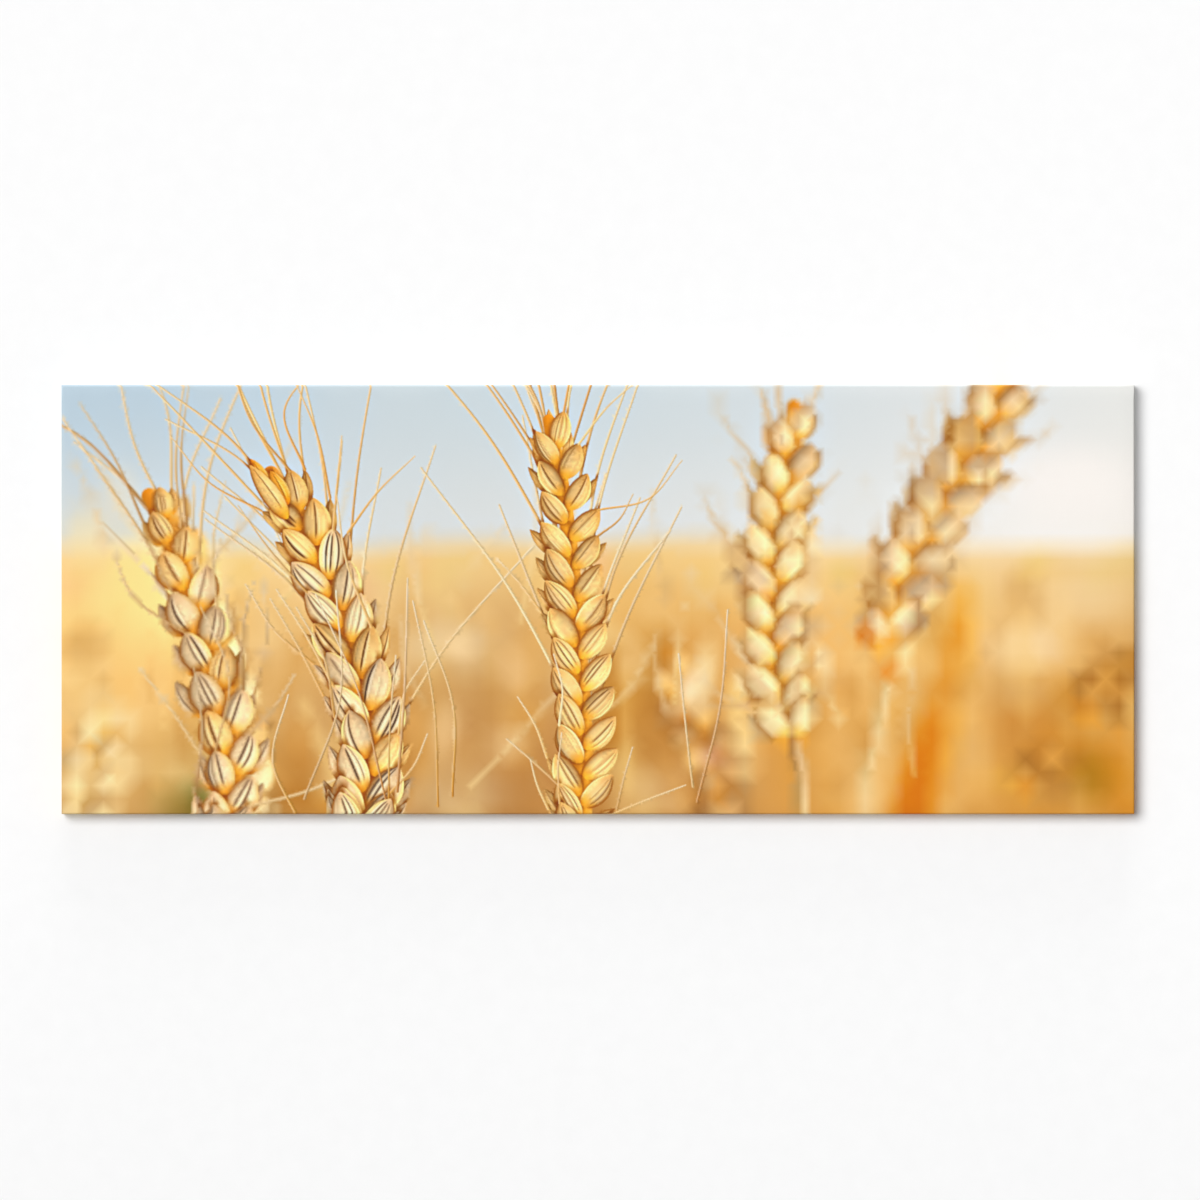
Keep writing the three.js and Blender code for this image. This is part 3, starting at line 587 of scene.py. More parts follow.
    # the middle ear, the sharpest, with its wide fan
    rng = np.random.default_rng(77)
    axis_c = [(486, 28), (491, 54), (500, 96), (506, 140), (511, 190), (515, 246), (519, 306), (521, 372), (518, 456)]
    L = Layer(2.0)
    awns(L, rng, axis_c, 26, 2.5, SKY_BRISTLES, reach=245.0)
    for b_, t_, w in [((492, 62), (487, 24), 12), ((482, 88), (473, 44), 13), ((504, 90), (509, 46), 13)]:
        grain(L, rng, b_, t_, w, "warm", stripes=[(0.1, 0.07, 0.4, 0.0, 0.95)], rim=0.9, point=0.9)
    tips = ear(L, rng, axis_c, 29.5, 46, 24.5, (31, 44), "warm", start=2, stripes=0.68, tips_look="warm", bright=1.0, taper=0.82, out=0.05, mates=0.5, blunt=0.84, lag=0.5, glow=1.0, core=(240, 168, 62))
    fan(L, rng, tips, 0.24, 90, 2.0, [tone(*c) for c in SKY_BRISTLES], 16, 0.07, 0.95)
    base = L.onto(base, 0.25)

    # a few sharp bristles in front of everything
    rng = np.random.default_rng(81)
    L = Layer(2.0)
    loose(L, rng, 9, 2.4, [(214, 158, 76), (210, 168, 112), (222, 184, 126), (206, 150, 88)], (200, 640), (400, 450), (110, 220), 13, 0.95, 0.5)
    base = L.onto(base, 0.25)
    # crisper light and shade inside the ears
    base = base + 0.55 * (base - blur(base, 3.0)) + 0.24 * (base - blur(base, 22.0))
    # the printer's richer yellows
    grey = base.mean(2, keepdims=True)
    warm = ramp(0.06, 0.22, base[..., :1] - base[..., 2:])
    rich = grey + (base - grey) * 0.985
    rich = 0.788 + (rich - 0.785) * 1.24
    base = base * (1 - warm) + rich * warm
    return np.clip(base, 0, 1)
# picture-end


picture = paint()
PS = 2.0


def to_linear(c):
    return np.where(c <= 0.04045, c / 12.92, ((np.maximum(c, 0) + 0.055) / 1.055) ** 2.4)


def look_up(px, py):
    """Display colour of the picture at print coordinates (units), mirrored past its edges."""
    px = np.abs(px)
    py = np.abs(py)
    px = np.where(px > PW, 2 * PW - px, px)
    py = np.where(py > PH, 2 * PH - py, py)
    fx = np.clip((px + EDGE) * PS - 0.5, 0, picture.shape[1] - 1.001)
    fy = np.clip((py + EDGE) * PS - 0.5, 0, picture.shape[0] - 1.001)
    j, i = fx.astype(int), fy.astype(int)
    a, b = (fx - j)[..., None], (fy - i)[..., None]
    return ((picture[i, j] * (1 - a) + picture[i, j + 1] * a) * (1 - b)
            + (picture[i + 1, j] * (1 - a) + picture[i + 1, j + 1] * a) * b)


# ================================================================ the canvas
# The front is cut into right triangles, small where the picture has detail.
FLAT_W = HALF_W - EDGE_FRONT
FLAT_H = HALF_H - EDGE_FRONT
TILE = 256
NX, NZ = 5 * TILE, 2 * TILE
STRIDE = NX + 1
gx = np.linspace(-FLAT_W, FLAT_W, NX + 1)
gz = np.linspace(FLAT_H, -FLAT_H, NZ + 1)
U_MM = 2 * HALF_W / PW           # metres in one drawing unit
V_MM = 2 * HALF_H / PH
GX, GZ = np.meshgrid(gx, gz)
grid_colour = look_up((GX + HALF_W) / U_MM, (HALF_H - GZ) / V_MM).reshape(-1, 3).astype(np.float32)


def tri_levels():
    """Corner indices (a, b, c) of the two first triangles of each tile: a-b is the long side."""
    start = []
    for ty in range(NZ // TILE):
        for tx in range(NX // TILE):
            x0, y0, x1, y1 = tx * TILE, ty * TILE, (tx + 1) * TILE, (ty + 1) * TILE
            start.append(((x0, y0), (x1, y1), (x1, y0)))
            start.append(((x1, y1), (x0, y0), (x0, y1)))
    return np.array(start)       # n, 3, 2


def split(t):
    a, b, c = t[:, 0], t[:, 1], t[:, 2]
    m = (a + b) // 2
    return np.stack([c, a, m], 1), np.stack([b, c, m], 1), m


def index(p):
    return p[..., 1] * STRIDE + p[..., 0]


def errors(forced):
    """How far the middle of each long side is from its two ends, and all that lies under it."""
    levels = [tri_levels()]
    while True:
        t = levels[-1]
        if np.abs(t[0, 0] - t[0, 1]).sum() <= 1:
            break
        if np.abs(t[0, 0] - t[0, 1]).max() < 2:
            break
        one, two, _ = split(t)
        levels.append(np.concatenate([one, two]))
    err = forced.copy()
    for t in reversed(levels[:-1]):
        one, two, m = split(t)
        mi = index(m)
        here = np.abs(grid_colour[mi] - (grid_colour[index(t[:, 0])] + grid_colour[index(t[:, 1])]) / 2).max(1)
        np.maximum.at(err, mi, here * WEIGH)
        if np.abs(one[0, 0] - one[0, 1]).max() >= 2:
            for child in (one, two):
                cm = (child[:, 0] + child[:, 1]) // 2
                np.maximum.at(err, mi, err[index(cm)])
    return err


def cut(err, limit):
    t = tri_levels()
    kept = []
    while len(t):
        size = np.abs(t[:, 0] - t[:, 1]).max(1)
        m = (t[:, 0] + t[:, 1]) // 2
        go = (size >= 2) & (err[index(m)] > limit)
        kept.append(t[~go])
        one, two, _ = split(t[go])
        t = np.concatenate([one, two])
    return np.concatenate([index(k) for k in kept if len(k)])


WEIGH = 1.0
forced = np.zeros(STRIDE * (NZ + 1), np.float32)
grid_force = forced.reshape(NZ + 1, STRIDE)
grid_force[::16, ::16] = 9.0
err = errors(forced)
lo_, hi_ = 0.002, 0.2
for _ in range(12):
    limit = math.sqrt(lo_ * hi_)
    n = len(cut(err, limit))
    if n > 128000:
        lo_ = limit
    else:
        hi_ = limit
front = cut(err, hi_)
print("front triangles", len(front), "limit", round(hi_, 4))

used = np.unique(front)
on_edge = used[(used % STRIDE == 0) | (used % STRIDE == NX) | (used // STRIDE == 0) | (used // STRIDE == NZ)]

# the inner face: the same points round the edge, wide triangles elsewhere
WEIGH = 0.0
forced = np.zeros(STRIDE * (NZ + 1), np.float32)
forced[on_edge] = 9.0
forced.reshape(NZ + 1, STRIDE)[::32, ::32] = 9.0
inner = cut(errors(forced), 1.0)
inner_used = np.unique(inner)
inner_edge = inner_used[(inner_used % STRIDE == 0) | (inner_used % STRIDE == NX) | (inner_used // STRIDE == 0) | (inner_used // STRIDE == NZ)]
assert len(inner_edge) == len(on_edge) and (inner_edge == on_edge).all(), "the two faces differ at the edge"


def edge_place(i):
    """How far round the rectangle a grid point is, clockwise from the top left seen from the front."""
    x, y = i % STRIDE, i // STRIDE
    return np.where(y == 0, x, np.where(x == NX, NX + y, np.where(y == NZ, NX + NZ + (NX - x), 2 * NX + NZ + (NZ - y))))


ring0 = on_edge[np.argsort(edge_place(on_edge))]
bx = gx[ring0 % STRIDE]
bz = gz[ring0 // STRIDE]


def sag(x, z):
    """The cloth is drum tight, but not dead flat between the bars."""
    e = np.minimum(FLAT_W - np.abs(x), FLAT_H - np.abs(z))
    hold = ramp(0.012, 0.09, e)
    s = 0.00038 * hold * (1 - (x / FLAT_W) ** 2) ** 0.5
    s += hold * 0.00010 * np.sin(x * 9.1 + 1.3) * np.sin(z * 13.7 + 0.4)
    return s


# profile across an edge, outside: (inset, depth from the front, cloth length from the flat front)
outer_profile = []
for k in range(1, 5):
    a = k / 4 * math.pi / 2
    outer_profile.append((EDGE_FRONT * (1 - math.sin(a)), EDGE_FRONT * (1 - math.cos(a)), EDGE_FRONT * a))
run0 = EDGE_FRONT * math.pi / 2
side_len = SIDE - EDGE_FRONT - EDGE_BACK
for k in range(1, 8):
    outer_profile.append((0.0, EDGE_FRONT + side_len * k / 7, run0 + side_len * k / 7))
run1 = run0 + side_len
for k in range(1, 4):
    a = k / 3 * math.pi / 2
    outer_profile.append((EDGE_BACK * (1 - math.cos(a)), SIDE - EDGE_BACK * (1 - math.sin(a)), run1 + EDGE_BACK * a))
run2 = run1 + EDGE_BACK * math.pi / 2
for k in range(1, 5):
    outer_profile.append((EDGE_BACK + (HEM - EDGE_BACK) * k / 4, SIDE, run2 + (HEM - EDGE_BACK) * k / 4))
END_RUN = outer_profile[-1][2]
# and inside, from the hem's cut edge back to the flat front
inner_profile = [(HEM, SIDE - CLOTH, END_RUN), (HEM * 0.5, SIDE - CLOTH, END_RUN - HEM * 0.5)]
r = EDGE_BACK - CLOTH
for k in range(0, 4):
    a = (1 - k / 3) * math.pi / 2
    inner_profile.append((CLOTH + r * (1 - math.cos(a)), SIDE - CLOTH - r * (1 - math.sin(a)), run1 + EDGE_BACK * a))
inner_profile.append((CLOTH, EDGE_FRONT, run0))
r = EDGE_FRONT - CLOTH
for k in range(3, 0, -1):
    a = k / 4 * math.pi / 2
    inner_profile.append((CLOTH + r * (1 - math.sin(a)), CLOTH + r * (1 - math.cos(a)), EDGE_FRONT * a))

verts, cloth, faces, skin = [], [], [], []
count = 0


def add(points, where, face):
    global count
    verts.append(points)
    cloth.append(where)
    skin.append(np.full(len(points), face))
    count += len(points)
    return count - len(points)


# outer front
remap = np.full(STRIDE * (NZ + 1), -1)
fx_, fz_ = gx[used % STRIDE], gz[used // STRIDE]
first = add(np.stack([fx_, FRONT + sag(fx_, fz_), MID_Z + fz_], 1), np.stack([fx_, fz_], 1), 0)
remap[used] = first + np.arange(len(used))
faces.append(remap[front])
last_ring = remap[ring0]
corner = [int(np.argmin(np.abs(bx - sx * FLAT_W) + np.abs(bz - sz * FLAT_H))) for sx in (-1, 1) for sz in (-1, 1)]


def ring(inset, depth, run, face):
    w, h = HALF_W - inset, HALF_H - inset
    x, z = bx * w / FLAT_W, bz * h / FLAT_H
    on_x = np.isclose(np.abs(bx), FLAT_W)
    on_z = np.isclose(np.abs(bz), FLAT_H)
    cx = bx + np.where(on_x, np.sign(bx) * run, 0)
    cz = bz + np.where(on_z, np.sign(bz) * run, 0)
    start = add(np.stack([x, np.full_like(x, FRONT + depth), MID_Z + z], 1), np.stack([cx, cz], 1), face)
    return start + np.arange(len(bx))


def belt(a, b):
    n = len(a)
    k = (np.arange(n) + 1) % n
    faces.append(np.stack([a, a[k], b[k]], 1))
    faces.append(np.stack([a, b[k], b], 1))


for inset, depth, run in outer_profile:
    now = ring(inset, depth, run, 0)
    belt(now, last_ring)
    last_ring = now
hem_ring = last_ring
for inset, depth, run in inner_profile:
    now = ring(inset, depth, run, 1)
    belt(now, last_ring)
    last_ring = now
remap = np.full(STRIDE * (NZ + 1), -1)
fx_, fz_ = gx[inner_used % STRIDE], gz[inner_used // STRIDE]
first = add(np.stack([fx_, FRONT + CLOTH + sag(fx_, fz_), MID_Z + fz_], 1), np.stack([fx_, fz_], 1), 1)
remap[inner_used] = first + np.arange(len(inner_used))
faces.append(remap[inner][:, ::-1])
belt(remap[ring0], last_ring)

verts = np.concatenate(verts)
cloth = np.concatenate(cloth)
skin = np.concatenate(skin)
faces = np.concatenate(faces)


def build_mesh(name, verts, faces):
    me = bpy.data.meshes.new(name)
    me.vertices.add(len(verts))
    me.vertices.foreach_set("co", np.asarray(verts, np.float32).ravel())
    me.loops.add(len(faces) * 3)
    me.loops.foreach_set("vertex_index", np.asarray(faces, np.int32).ravel())
    me.polygons.add(len(faces))
    me.polygons.foreach_set("loop_start", np.arange(0, len(faces) * 3, 3, dtype=np.int32))
    me.polygons.foreach_set("loop_total", np.full(len(faces), 3, np.int32))
    me.update(calc_edges=True)
    me.validate()
    return me


me = build_mesh("printed_canvas", verts, faces)
bm = bmesh.new()
bm.from_mesh(me)
bmesh.ops.recalc_face_normals(bm, faces=bm.faces)
print("canvas volume cm3", round(bm.calc_volume() * 1e6, 1), "open edges", sum(1 for e in bm.edges if not e.is_manifold), "faces", len(bm.faces))
bm.to_mesh(me)
bm.free()

# colours, cloth coordinates, which skin, UVs
px = (cloth[:, 0] + HALF_W) / U_MM
py = (HALF_H - cloth[:, 1]) / V_MM
shown = look_up(px, py)
WALL_ALBEDO = 0.90
WALL_SHOWN = 1.0
albedo = to_linear(shown) * WALL_ALBEDO * WALL_SHOWN
paint_attr = me.color_attributes.new("print", "FLOAT_COLOR", "POINT")
paint_attr.data.foreach_set("color", np.concatenate([albedo, np.ones((len(albedo), 1))], 1).astype(np.float32).ravel())
at = me.attributes.new("cloth", "FLOAT_VECTOR", "POINT")
at.data.foreach_set("vector", np.concatenate([cloth, np.zeros((len(cloth), 1))], 1).astype(np.float32).ravel())
at = me.attributes.new("cloth_run", "FLOAT", "POINT")
over = np.maximum(np.abs(cloth[:, 0]) - FLAT_W, np.abs(cloth[:, 1]) - FLAT_H)
at.data.foreach_set("value", over.astype(np.float32))

loops_v = np.zeros(len(me.loops), np.int32)
me.loops.foreach_get("vertex_index", loops_v)
tot_w, tot_h = FLAT_W + END_RUN, FLAT_H + END_RUN
u = (cloth[:, 0] + tot_w) / (2 * tot_w) * 0.98 + 0.01
v_outer = 0.27 + (cloth[:, 1] + tot_h) / (2 * tot_h) * 0.72
v_inner = 0.01 + (cloth[:, 1] + tot_h) / (2 * tot_h) * 0.24
poly_mat = np.zeros(len(me.polygons), np.int32)
loops3 = loops_v.reshape(-1, 3)
inner_poly = skin[loops3].min(1) >= 1
first_inner = (skin[loops3].max(1) == 1) & ~inner_poly      # the hem's cut edge
poly_mat[inner_poly | first_inner] = 1
uv = me.uv_layers.new(name="OFBake")
use_inner = np.repeat(inner_poly, 3)
vv = np.where(use_inner, v_inner[loops_v], v_outer[loops_v])
uv.data.foreach_set("uv", np.stack([u[loops_v], vv], 1).astype(np.float32).ravel())
me.polygons.foreach_set("material_index", poly_mat)
me.polygons.foreach_set("use_smooth", np.ones(len(me.polygons), bool))
me.set_sharp_from_angle(angle=math.radians(50))

canvas = bpy.data.objects.new("printed_canvas", me)
bpy.context.scene.collection.objects.link(canvas)
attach(canvas, "root")
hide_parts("canvas")


# ================================================================ materials
class Nodes:
    """Short calls for a material's nodes."""

    def __init__(self, name):
        self.mat = bpy.data.materials.new(name)
        self.mat.use_nodes = True
        self.t = self.mat.node_tree
        self.t.nodes.clear()
        self.out = self.t.nodes.new("ShaderNodeOutputMaterial")
        self.bsdf = self.t.nodes.new("ShaderNodeBsdfPrincipled")
        self.t.links.new(self.bsdf.outputs[0], self.out.inputs[0])

    def put(self, socket, value):
        if hasattr(value, "links") or hasattr(value, "is_linked"):
            self.t.links.new(value, socket)
        else:
            socket.default_value = value

    def set(self, **values):
        for k, v in values.items():
            self.put(self.bsdf.inputs[k.replace("_", " ")], v)

    def attr(self, name):
        n = self.t.nodes.new("ShaderNodeAttribute")
        n.attribute_name = name
        return n

    def coords(self):
        return self.t.nodes.new("ShaderNodeTexCoord").outputs["Object"]

    def mapping(self, vector, scale=(1, 1, 1), rotation=(0, 0, 0), location=(0, 0, 0)):
        n = self.t.nodes.new("ShaderNodeMapping")
        self.put(n.inputs["Vector"], vector)
        n.inputs["Scale"].default_value = scale
        n.inputs["Rotation"].default_value = rotation
        n.inputs["Location"].default_value = location
        return n.outputs[0]

    def noise(self, vector, scale, detail=3.0, rough=0.5, distort=0.0):
        n = self.t.nodes.new("ShaderNodeTexNoise")
        self.put(n.inputs["Vector"], vector)
        n.inputs["Scale"].default_value = scale
        n.inputs["Detail"].default_value = detail
        n.inputs["Roughness"].default_value = rough
        n.inputs["Distortion"].default_value = distort
        return n.outputs["Fac"]

    def math(self, op, a, b=0.5, c=None, clamp=False):
        n = self.t.nodes.new("ShaderNodeMath")
        n.operation = op
        n.use_clamp = clamp
        self.put(n.inputs[0], a)
        if op not in ("SINE", "ABSOLUTE", "SIGN", "FRACT", "SQRT"):
            self.put(n.inputs[1], b)
        if c is not None:
            self.put(n.inputs[2], c)
        return n.outputs[0]

    def xyz(self, vector):
        n = self.t.nodes.new("ShaderNodeSeparateXYZ")
        self.put(n.inputs[0], vector)
        return n.outputs

    def ramp(self, fac, stops, interp="LINEAR"):
        n = self.t.nodes.new("ShaderNodeValToRGB")
        n.color_ramp.interpolation = interp
        el = n.color_ramp.elements
        while len(el) > len(stops):
            el.remove(el[-1])
        while len(el) < len(stops):
            el.new(0.5)
        for e, (p, c) in zip(el, stops):
            e.position = p
            e.color = (*c[:3], 1) if hasattr(c, "__len__") else (c, c, c, 1)
        self.put(n.inputs[0], fac)
        return n.outputs[0]

    def mix(self, fac, a, b, kind="MIX"):
        n = self.t.nodes.new("ShaderNodeMix")
        n.data_type = "RGBA"
        n.blend_type = kind
        self.put(n.inputs[0], fac)
        self.put(n.inputs[6], a if not isinstance(a, tuple) else (*a[:3], 1))
        self.put(n.inputs[7], b if not isinstance(b, tuple) else (*b[:3], 1))
        return n.outputs[2]

    def rangemap(self, value, a, b, c, d):
        n = self.t.nodes.new("ShaderNodeMapRange")
        self.put(n.inputs[0], value)
        for i, x in enumerate((a, b, c, d)):
            n.inputs[i + 1].default_value = x
        return n.outputs[0]

    def bump(self, height, distance, strength=1.0):
        n = self.t.nodes.new("ShaderNodeBump")
        n.inputs["Strength"].default_value = strength
        n.inputs["Distance"].default_value = distance
        self.put(n.inputs["Height"], height)
        self.t.links.new(n.outputs[0], self.bsdf.inputs["Normal"])


def lin(r, g, b):
    return tuple(float(x) for x in to_linear(np.array([r, g, b]) / 255.0))


def weave(m, pitch):
    """Over-and-under threads along the cloth, with slubs; 0 to 1."""
    at = m.attr("cloth").outputs["Vector"]
    wob = m.noise(at, 60, 2, 0.5)
    x, z, _ = m.xyz(at)
    k = math.pi / pitch
    sx = m.math("SINE", m.math("MULTIPLY_ADD", x, k, m.math("MULTIPLY", wob, 2.2)))
    sz = m.math("SINE", m.math("MULTIPLY_ADD", z, k, m.math("MULTIPLY", wob, 2.2)))
    turn = m.math("MULTIPLY_ADD", m.math("SIGN", m.math("MULTIPLY", sx, sz)), 0.5, 0.5)
    warp = m.math("POWER", m.math("ABSOLUTE", sx), 0.6)
    weft = m.math("POWER", m.math("ABSOLUTE", sz), 0.6)
    over = m.math("ADD", m.math("MULTIPLY", warp, turn), m.math("MULTIPLY", weft, m.math("SUBTRACT", 1.0, turn)))
    slub_x = m.noise(m.mapping(at, (900, 14, 1)), 1.0, 2, 0.6)
    slub_z = m.noise(m.mapping(at, (14, 900, 1)), 1.0, 2, 0.6)
    slub = m.math("ADD", m.math("MULTIPLY", slub_x, turn), m.math("MULTIPLY", slub_z, m.math("SUBTRACT", 1.0, turn)))
    return over, slub, at


# printed side: matte ink in a woven ground, with painted shade in the weave's gaps
m = Nodes("printed_canvas_face")
over, slub, at = weave(m, 0.00085)
ink = m.attr("print").outputs["Color"]
# painted shade and highlight: the ink is made darker where the weave dips between threads and a touch lighter on the
# thread tops and slubs
weave_gap_shade = m.rangemap(m.math("MULTIPLY", over, m.math("MULTIPLY_ADD", slub, 0.5, 0.75)), 0.1, 1.0, 0.955, 1.02)
n = m.t.nodes.new("ShaderNodeVectorMath")
n.operation = "SCALE"
m.put(n.inputs[0], ink)
m.put(n.inputs["Scale"], weave_gap_shade)
m.set(Base_Color=n.outputs[0])
m.set(Roughness=m.rangemap(m.math("ADD", m.math("MULTIPLY", over, 0.6), m.math("MULTIPLY", m.noise(at, 30, 3), 0.4)), 0.2, 0.8, 0.92, 0.74))
m.bsdf.inputs["Specular IOR Level"].default_value = 0.18
m.bsdf.inputs["Sheen Weight"].default_value = 0.04
m.bsdf.inputs["Sheen Roughness"].default_value = 0.6
m.bump(m.math("MULTIPLY_ADD", slub, 0.35, over), 0.00012, 0.55)
face_mat = m.mat

# unprinted side: white-primed through a natural weave, with painted shade in the weave's gaps
m = Nodes("canvas_back")
over, slub, at = weave(m, 0.00085)
tint = m.ramp(m.math("MULTIPLY_ADD", m.noise(at, 8, 4), 0.5, m.math("MULTIPLY", slub, 0.5)), [(0.25, lin(214, 206, 190)), (0.55, lin(228, 221, 206)), (0.8, lin(236, 230, 217))])
# painted shade: darker where the weave dips between threads, on top of the real tone variation in tint
dark = m.rangemap(over, 0.0, 1.0, 0.86, 1.02)
n = m.t.nodes.new("ShaderNodeVectorMath")
n.operation = "SCALE"
m.put(n.inputs[0], tint)
m.put(n.inputs["Scale"], dark)
m.set(Base_Color=n.outputs[0])
m.set(Roughness=m.rangemap(slub, 0.2, 0.8, 0.95, 0.82))
m.bsdf.inputs["Specular IOR Level"].default_value = 0.12
m.bump(m.math("MULTIPLY_ADD", slub, 0.5, over), 0.00016, 0.7)
back_mat = m.mat

me.materials.append(face_mat)
me.materials.append(back_mat)


def wood(name, along, light, mid, dark, knots=True, seed=0.0):
    """Planed softwood with its grain along one axis (0 x, 2 z)."""
    m = Nodes(name)
    c = m.coords()
    squeeze = [34.0, 34.0, 34.0]
    squeeze[along] = 1.15
    c2 = m.mapping(c, tuple(squeeze), location=(seed, seed * 1.7, seed * 0.6))
    wide = m.noise(c2, 1.0, 2, 0.4, 0.9)
    rings = m.math("ABSOLUTE", m.math("SINE", m.math("MULTIPLY", wide, 46.0)))
    sq = [900.0, 900.0, 900.0]
    sq[along] = 9.0
    fibre = m.noise(m.mapping(c, tuple(sq)), 1.0, 3, 0.6)
    patch = m.noise(m.mapping(c, tuple(6.0 if i != along else 1.6 for i in range(3))), 1.0, 2, 0.5)
    mixv = m.math("ADD", m.math("MULTIPLY", rings, 0.52), m.math("ADD", m.math("MULTIPLY", fibre, 0.26), m.math("MULTIPLY", patch, 0.30)))
    colour = m.ramp(mixv, [(0.16, dark), (0.42, mid), (0.78, light)])
    if knots:
        cell = m.t.nodes.new("ShaderNodeTexVoronoi")
        sk = [11.0, 11.0, 11.0]
        sk[along] = 4.2
        m.put(cell.inputs["Vector"], m.mapping(c, tuple(sk), location=(seed + 0.3, 0.1, 0.2)))
        cell.inputs["Scale"].default_value = 1.0
        knot = m.ramp(cell.outputs["Distance"], [(0.05, 1.0), (0.105, 0.0)])
        colour = m.mix(m.math("MULTIPLY", knot, 0.75), colour, lin(138, 90, 50))
    m.set(Base_Color=colour)
    m.set(Roughness=m.rangemap(mixv, 0.2, 0.9, 0.70, 0.52))
    m.bsdf.inputs["Specular IOR Level"].default_value = 0.35
    m.bump(m.math("ADD", m.math("MULTIPLY", rings, 0.5), fibre), 0.00018, 0.6)
    return m.mat


pine = (lin(228, 196, 146), lin(212, 172, 118), lin(184, 136, 82))
wood_top = wood("pine_bar_top", 0, *pine, seed=0.0)
wood_bottom = wood("pine_bar_bottom", 0, *pine, seed=4.1)
wood_left = wood("pine_bar_left", 2, *pine, seed=7.7)
wood_right = wood("pine_bar_right", 2, *pine, seed=12.4)
wood_brace = wood("pine_brace", 2, lin(222, 188, 136), lin(204, 162, 108), lin(176, 128, 76), seed=17.0)
beech = (lin(204, 160, 112), lin(186, 138, 92), lin(160, 112, 70))
keys_x = wood("beech_key_x", 0, *beech, knots=False, seed=2.2)
keys_z = wood("beech_key_z", 2, *beech, knots=False, seed=5.5)


def metal(name, colour, worn, rough, scale, brush=(1, 1, 1), metallic=1.0):
    m = Nodes(name)
    c = m.coords()
    stains = m.noise(c, scale, 4, 0.6)
    lines = m.noise(m.mapping(c, brush), scale * 6, 2, 0.5)
    m.set(Base_Color=m.mix(m.rangemap(stains, 0.4, 0.75, 0.0, 0.8), colour, worn))
    m.set(Roughness=m.rangemap(m.math("ADD", m.math("MULTIPLY", stains, 0.6), m.math("MULTIPLY", lines, 0.4)), 0.3, 0.7, rough - 0.08, rough + 0.14))
    m.bsdf.inputs["Metallic"].default_value = metallic
    m.bump(lines, 0.00004, 0.5)
    return m.mat


steel = metal("staple_wire", lin(196, 198, 200), lin(150, 150, 150), 0.34, 260, (1, 1, 6))
brass = metal("brassed_steel", lin(214, 176, 104), lin(168, 130, 72), 0.30, 180, (0.2, 1, 1))
nail = metal("nail_head", lin(206, 170, 104), lin(150, 118, 70), 0.36, 400)

m = Nodes("bumper_rubber")
c = m.coords()
f = m.noise(c, 500, 4, 0.6)
m.set(Base_Color=m.ramp(f, [(0.3, lin(52, 52, 54)), (0.7, lin(74, 74, 76))]))
m.set(Roughness=m.rangemap(f, 0.3, 0.7, 0.86, 0.66))
m.bump(f, 0.00006, 0.6)
rubber = m.mat


def dress(obj, mat):
    obj.data.materials.clear()
    obj.data.materials.append(mat)


def ease(obj, width, segments=2, angle=35):
    b = obj.modifiers.new("ease", "BEVEL")
    b.width = width
    b.segments = segments
    b.limit_method = "ANGLE"
    b.angle_limit = math.radians(angle)
    b.use_clamp_overlap = True


for name, o in NODES.items():
    if name == "stretcher_bar_top":
        dress(o, wood_top)
    elif name == "stretcher_bar_bottom":
        dress(o, wood_bottom)
    elif name == "stretcher_bar_left":
        dress(o, wood_left)
    elif name == "stretcher_bar_right":
        dress(o, wood_right)
    elif name == "centre_brace":
        dress(o, wood_brace)
    elif name.startswith("corner_key"):
        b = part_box(name)
        dress(o, keys_x if (b[1].x - b[0].x) > (b[1].z - b[0].z) else keys_z)
    elif name.startswith("hanger_nail"):
        dress(o, nail)
    elif name.startswith("hanger"):
        dress(o, brass)
    elif name.startswith("staple"):
        dress(o, steel)
    elif name.startswith("bumper"):
        dress(o, rubber)
    if name.startswith(("stretcher", "centre_brace")):
        ease(o, 0.0004)
    elif name.startswith("corner_key"):
        ease(o, 0.0003)


# ==================================================================== stage
def plane(name, corners):
    pm = bpy.data.meshes.new(name)
    pm.from_pydata([Vector(c) for c in corners], [], [(0, 1, 2, 3)])
    po = bpy.data.objects.new(name, pm)
    bpy.context.scene.collection.objects.link(po)
    return po


FLOOR_Z = MID_Z - 1.02
wall = plane("wall", [(-6, 0.0004, FLOOR_Z), (6, 0.0004, FLOOR_Z), (6, 0.0004, 4.5), (-6, 0.0004, 4.5)])
m = Nodes("wall_paint")
f = m.noise(m.coords(), 40, 4, 0.5)
m.set(Base_Color=m.ramp(f, [(0.3, (0.893, 0.893, 0.893)), (0.7, (0.907, 0.907, 0.907))]))
m.set(Roughness=0.95)
m.bsdf.inputs["Specular IOR Level"].default_value = 0.0
geo = m.t.nodes.new("ShaderNodeNewGeometry")
clear = m.t.nodes.new("ShaderNodeBsdfTransparent")
mixer = m.t.nodes.new("ShaderNodeMixShader")
m.t.links.new(geo.outputs["Backfacing"], mixer.inputs[0])
m.t.links.new(m.bsdf.outputs[0], mixer.inputs[1])
m.t.links.new(clear.outputs[0], mixer.inputs[2])
m.t.links.new(mixer.outputs[0], m.out.inputs[0])
dress(wall, m.mat)
wall.visible_shadow = False
wall.visible_diffuse = False
wall.visible_glossy = False
wall.visible_transmission = False

floor = plane("floor", [(-9, -9, FLOOR_Z), (9, -9, FLOOR_Z), (9, 9, FLOOR_Z), (-9, 9, FLOOR_Z)])
m = Nodes("floor_paint")
f = m.noise(m.coords(), 3, 4, 0.5)
m.set(Base_Color=m.ramp(f, [(0.3, (0.80, 0.80, 0.80)), (0.7, (0.84, 0.84, 0.84))]))
m.set(Roughness=0.9)
m.bsdf.inputs["Specular IOR Level"].default_value = 0.1
dress(floor, m.mat)
floor.visible_diffuse = False

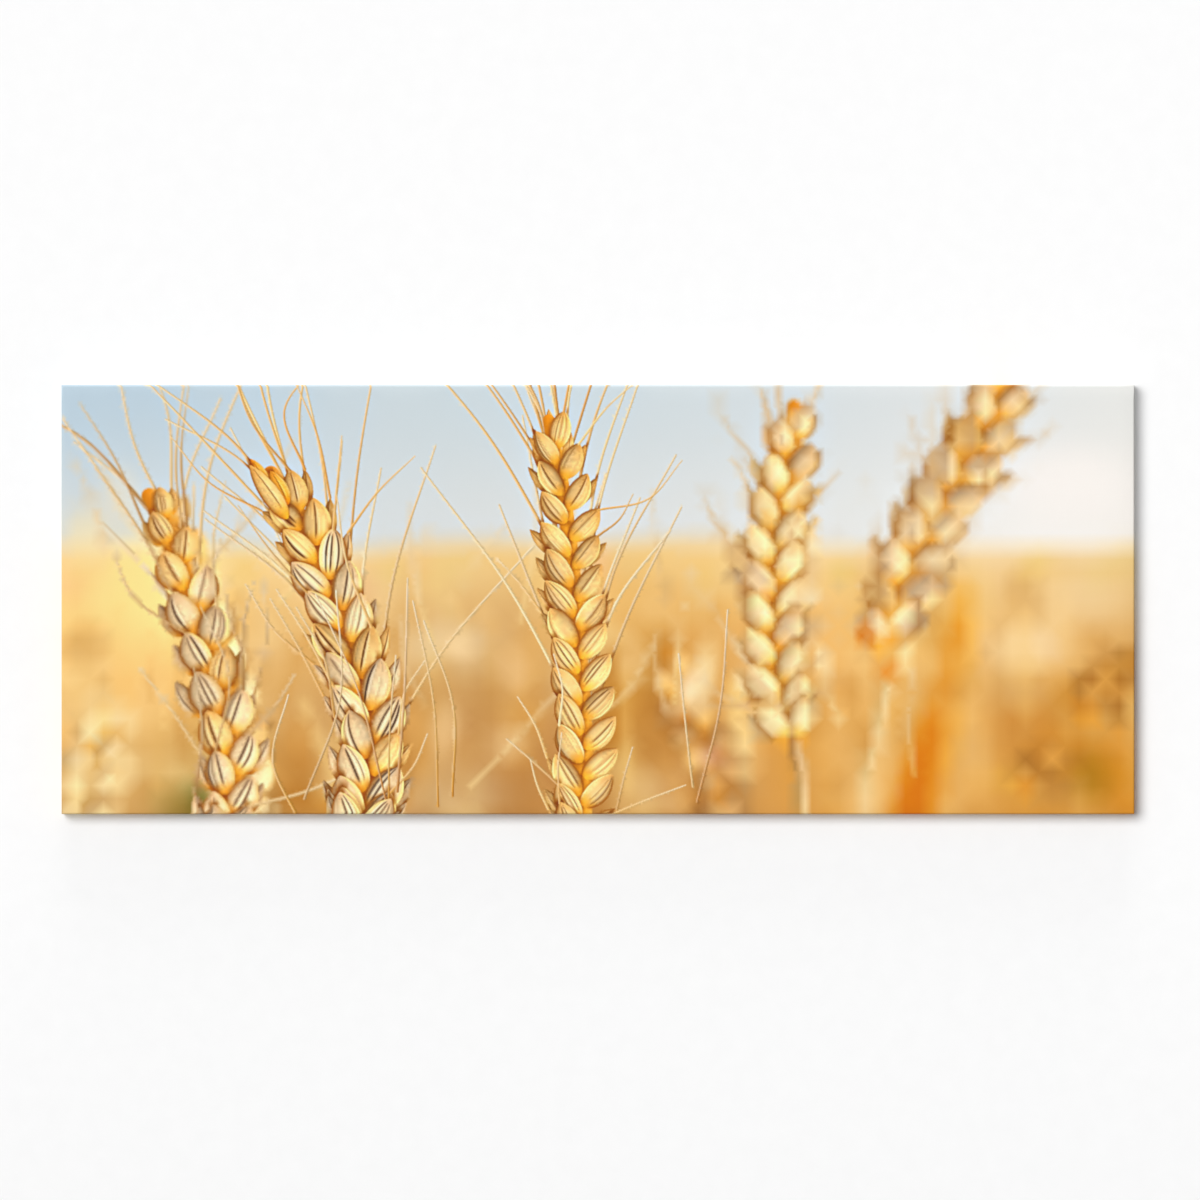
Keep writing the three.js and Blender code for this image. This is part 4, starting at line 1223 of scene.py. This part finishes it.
# ------------------------------------------------------------------- light
scene = bpy.context.scene
world = bpy.data.worlds.new("studio")
world.use_nodes = True
bg = world.node_tree.nodes["Background"]
bg.inputs[0].default_value = (1.0, 1.0, 1.0, 1)
seen = world.node_tree.nodes.new("ShaderNodeLightPath")
brighter = world.node_tree.nodes.new("ShaderNodeMapRange")
brighter.inputs[3].default_value = 0.235
brighter.inputs[4].default_value = 0.90
world.node_tree.links.new(seen.outputs["Is Camera Ray"], brighter.inputs[0])
world.node_tree.links.new(brighter.outputs[0], bg.inputs[1])
scene.world = world
scene.view_settings.view_transform = "Standard"
scene.view_settings.look = "None"
scene.view_settings.exposure = 0.0


def lamp(name, place, aim, size, watts, colour=(1, 1, 1)):
    d = bpy.data.lights.new(name, "AREA")
    d.shape = "DISK"
    d.size = size
    d.energy = watts
    d.color = colour
    o = bpy.data.objects.new(name, d)
    o.location = place
    d.specular_factor = 0.4
    o.rotation_euler = (Vector(aim) - Vector(place)).to_track_quat("-Z", "Y").to_euler()
    scene.collection.objects.link(o)
    return o


AIM = (0.0, 0.0, MID_Z)
sun = bpy.data.lights.new("key", "SUN")
sun.energy = 2.885
sun.angle = 0.66
key = bpy.data.objects.new("key", sun)
key.location = (-1.5, -4.0, MID_Z + 1.0)
above = bpy.data.lights.new("above", "SUN")
above.energy = 2.3
above.angle = 0.5
down = bpy.data.objects.new("above", above)
down.location = (0, 0, 4)
scene.collection.objects.link(down)
key.rotation_euler = Vector((0.42, 1.0, -0.27)).to_track_quat("-Z", "Y").to_euler()
scene.collection.objects.link(key)
lamp("back_light", (-0.45, 3.2, MID_Z + 0.35), AIM, 1.0, 75)

# ------------------------------------------------------------------ camera
cam_data = bpy.data.cameras.new("camera")
cam = bpy.data.objects.new("camera", cam_data)
scene.collection.objects.link(cam)
VIEW_W = 2 * HALF_W * 1200 / 1073.0
DIST = 12.0
cam_data.sensor_fit = "HORIZONTAL"
cam_data.sensor_width = 36.0
cam_data.lens = 36.0 * DIST / VIEW_W
cam_data.clip_end = 60.0
MM_PX = VIEW_W / 1200
cam.location = (2.0 * MM_PX, FRONT - DIST, MID_Z - 0.5 * MM_PX)
cam.rotation_euler = (math.radians(90), 0, 0)
scene.camera = cam
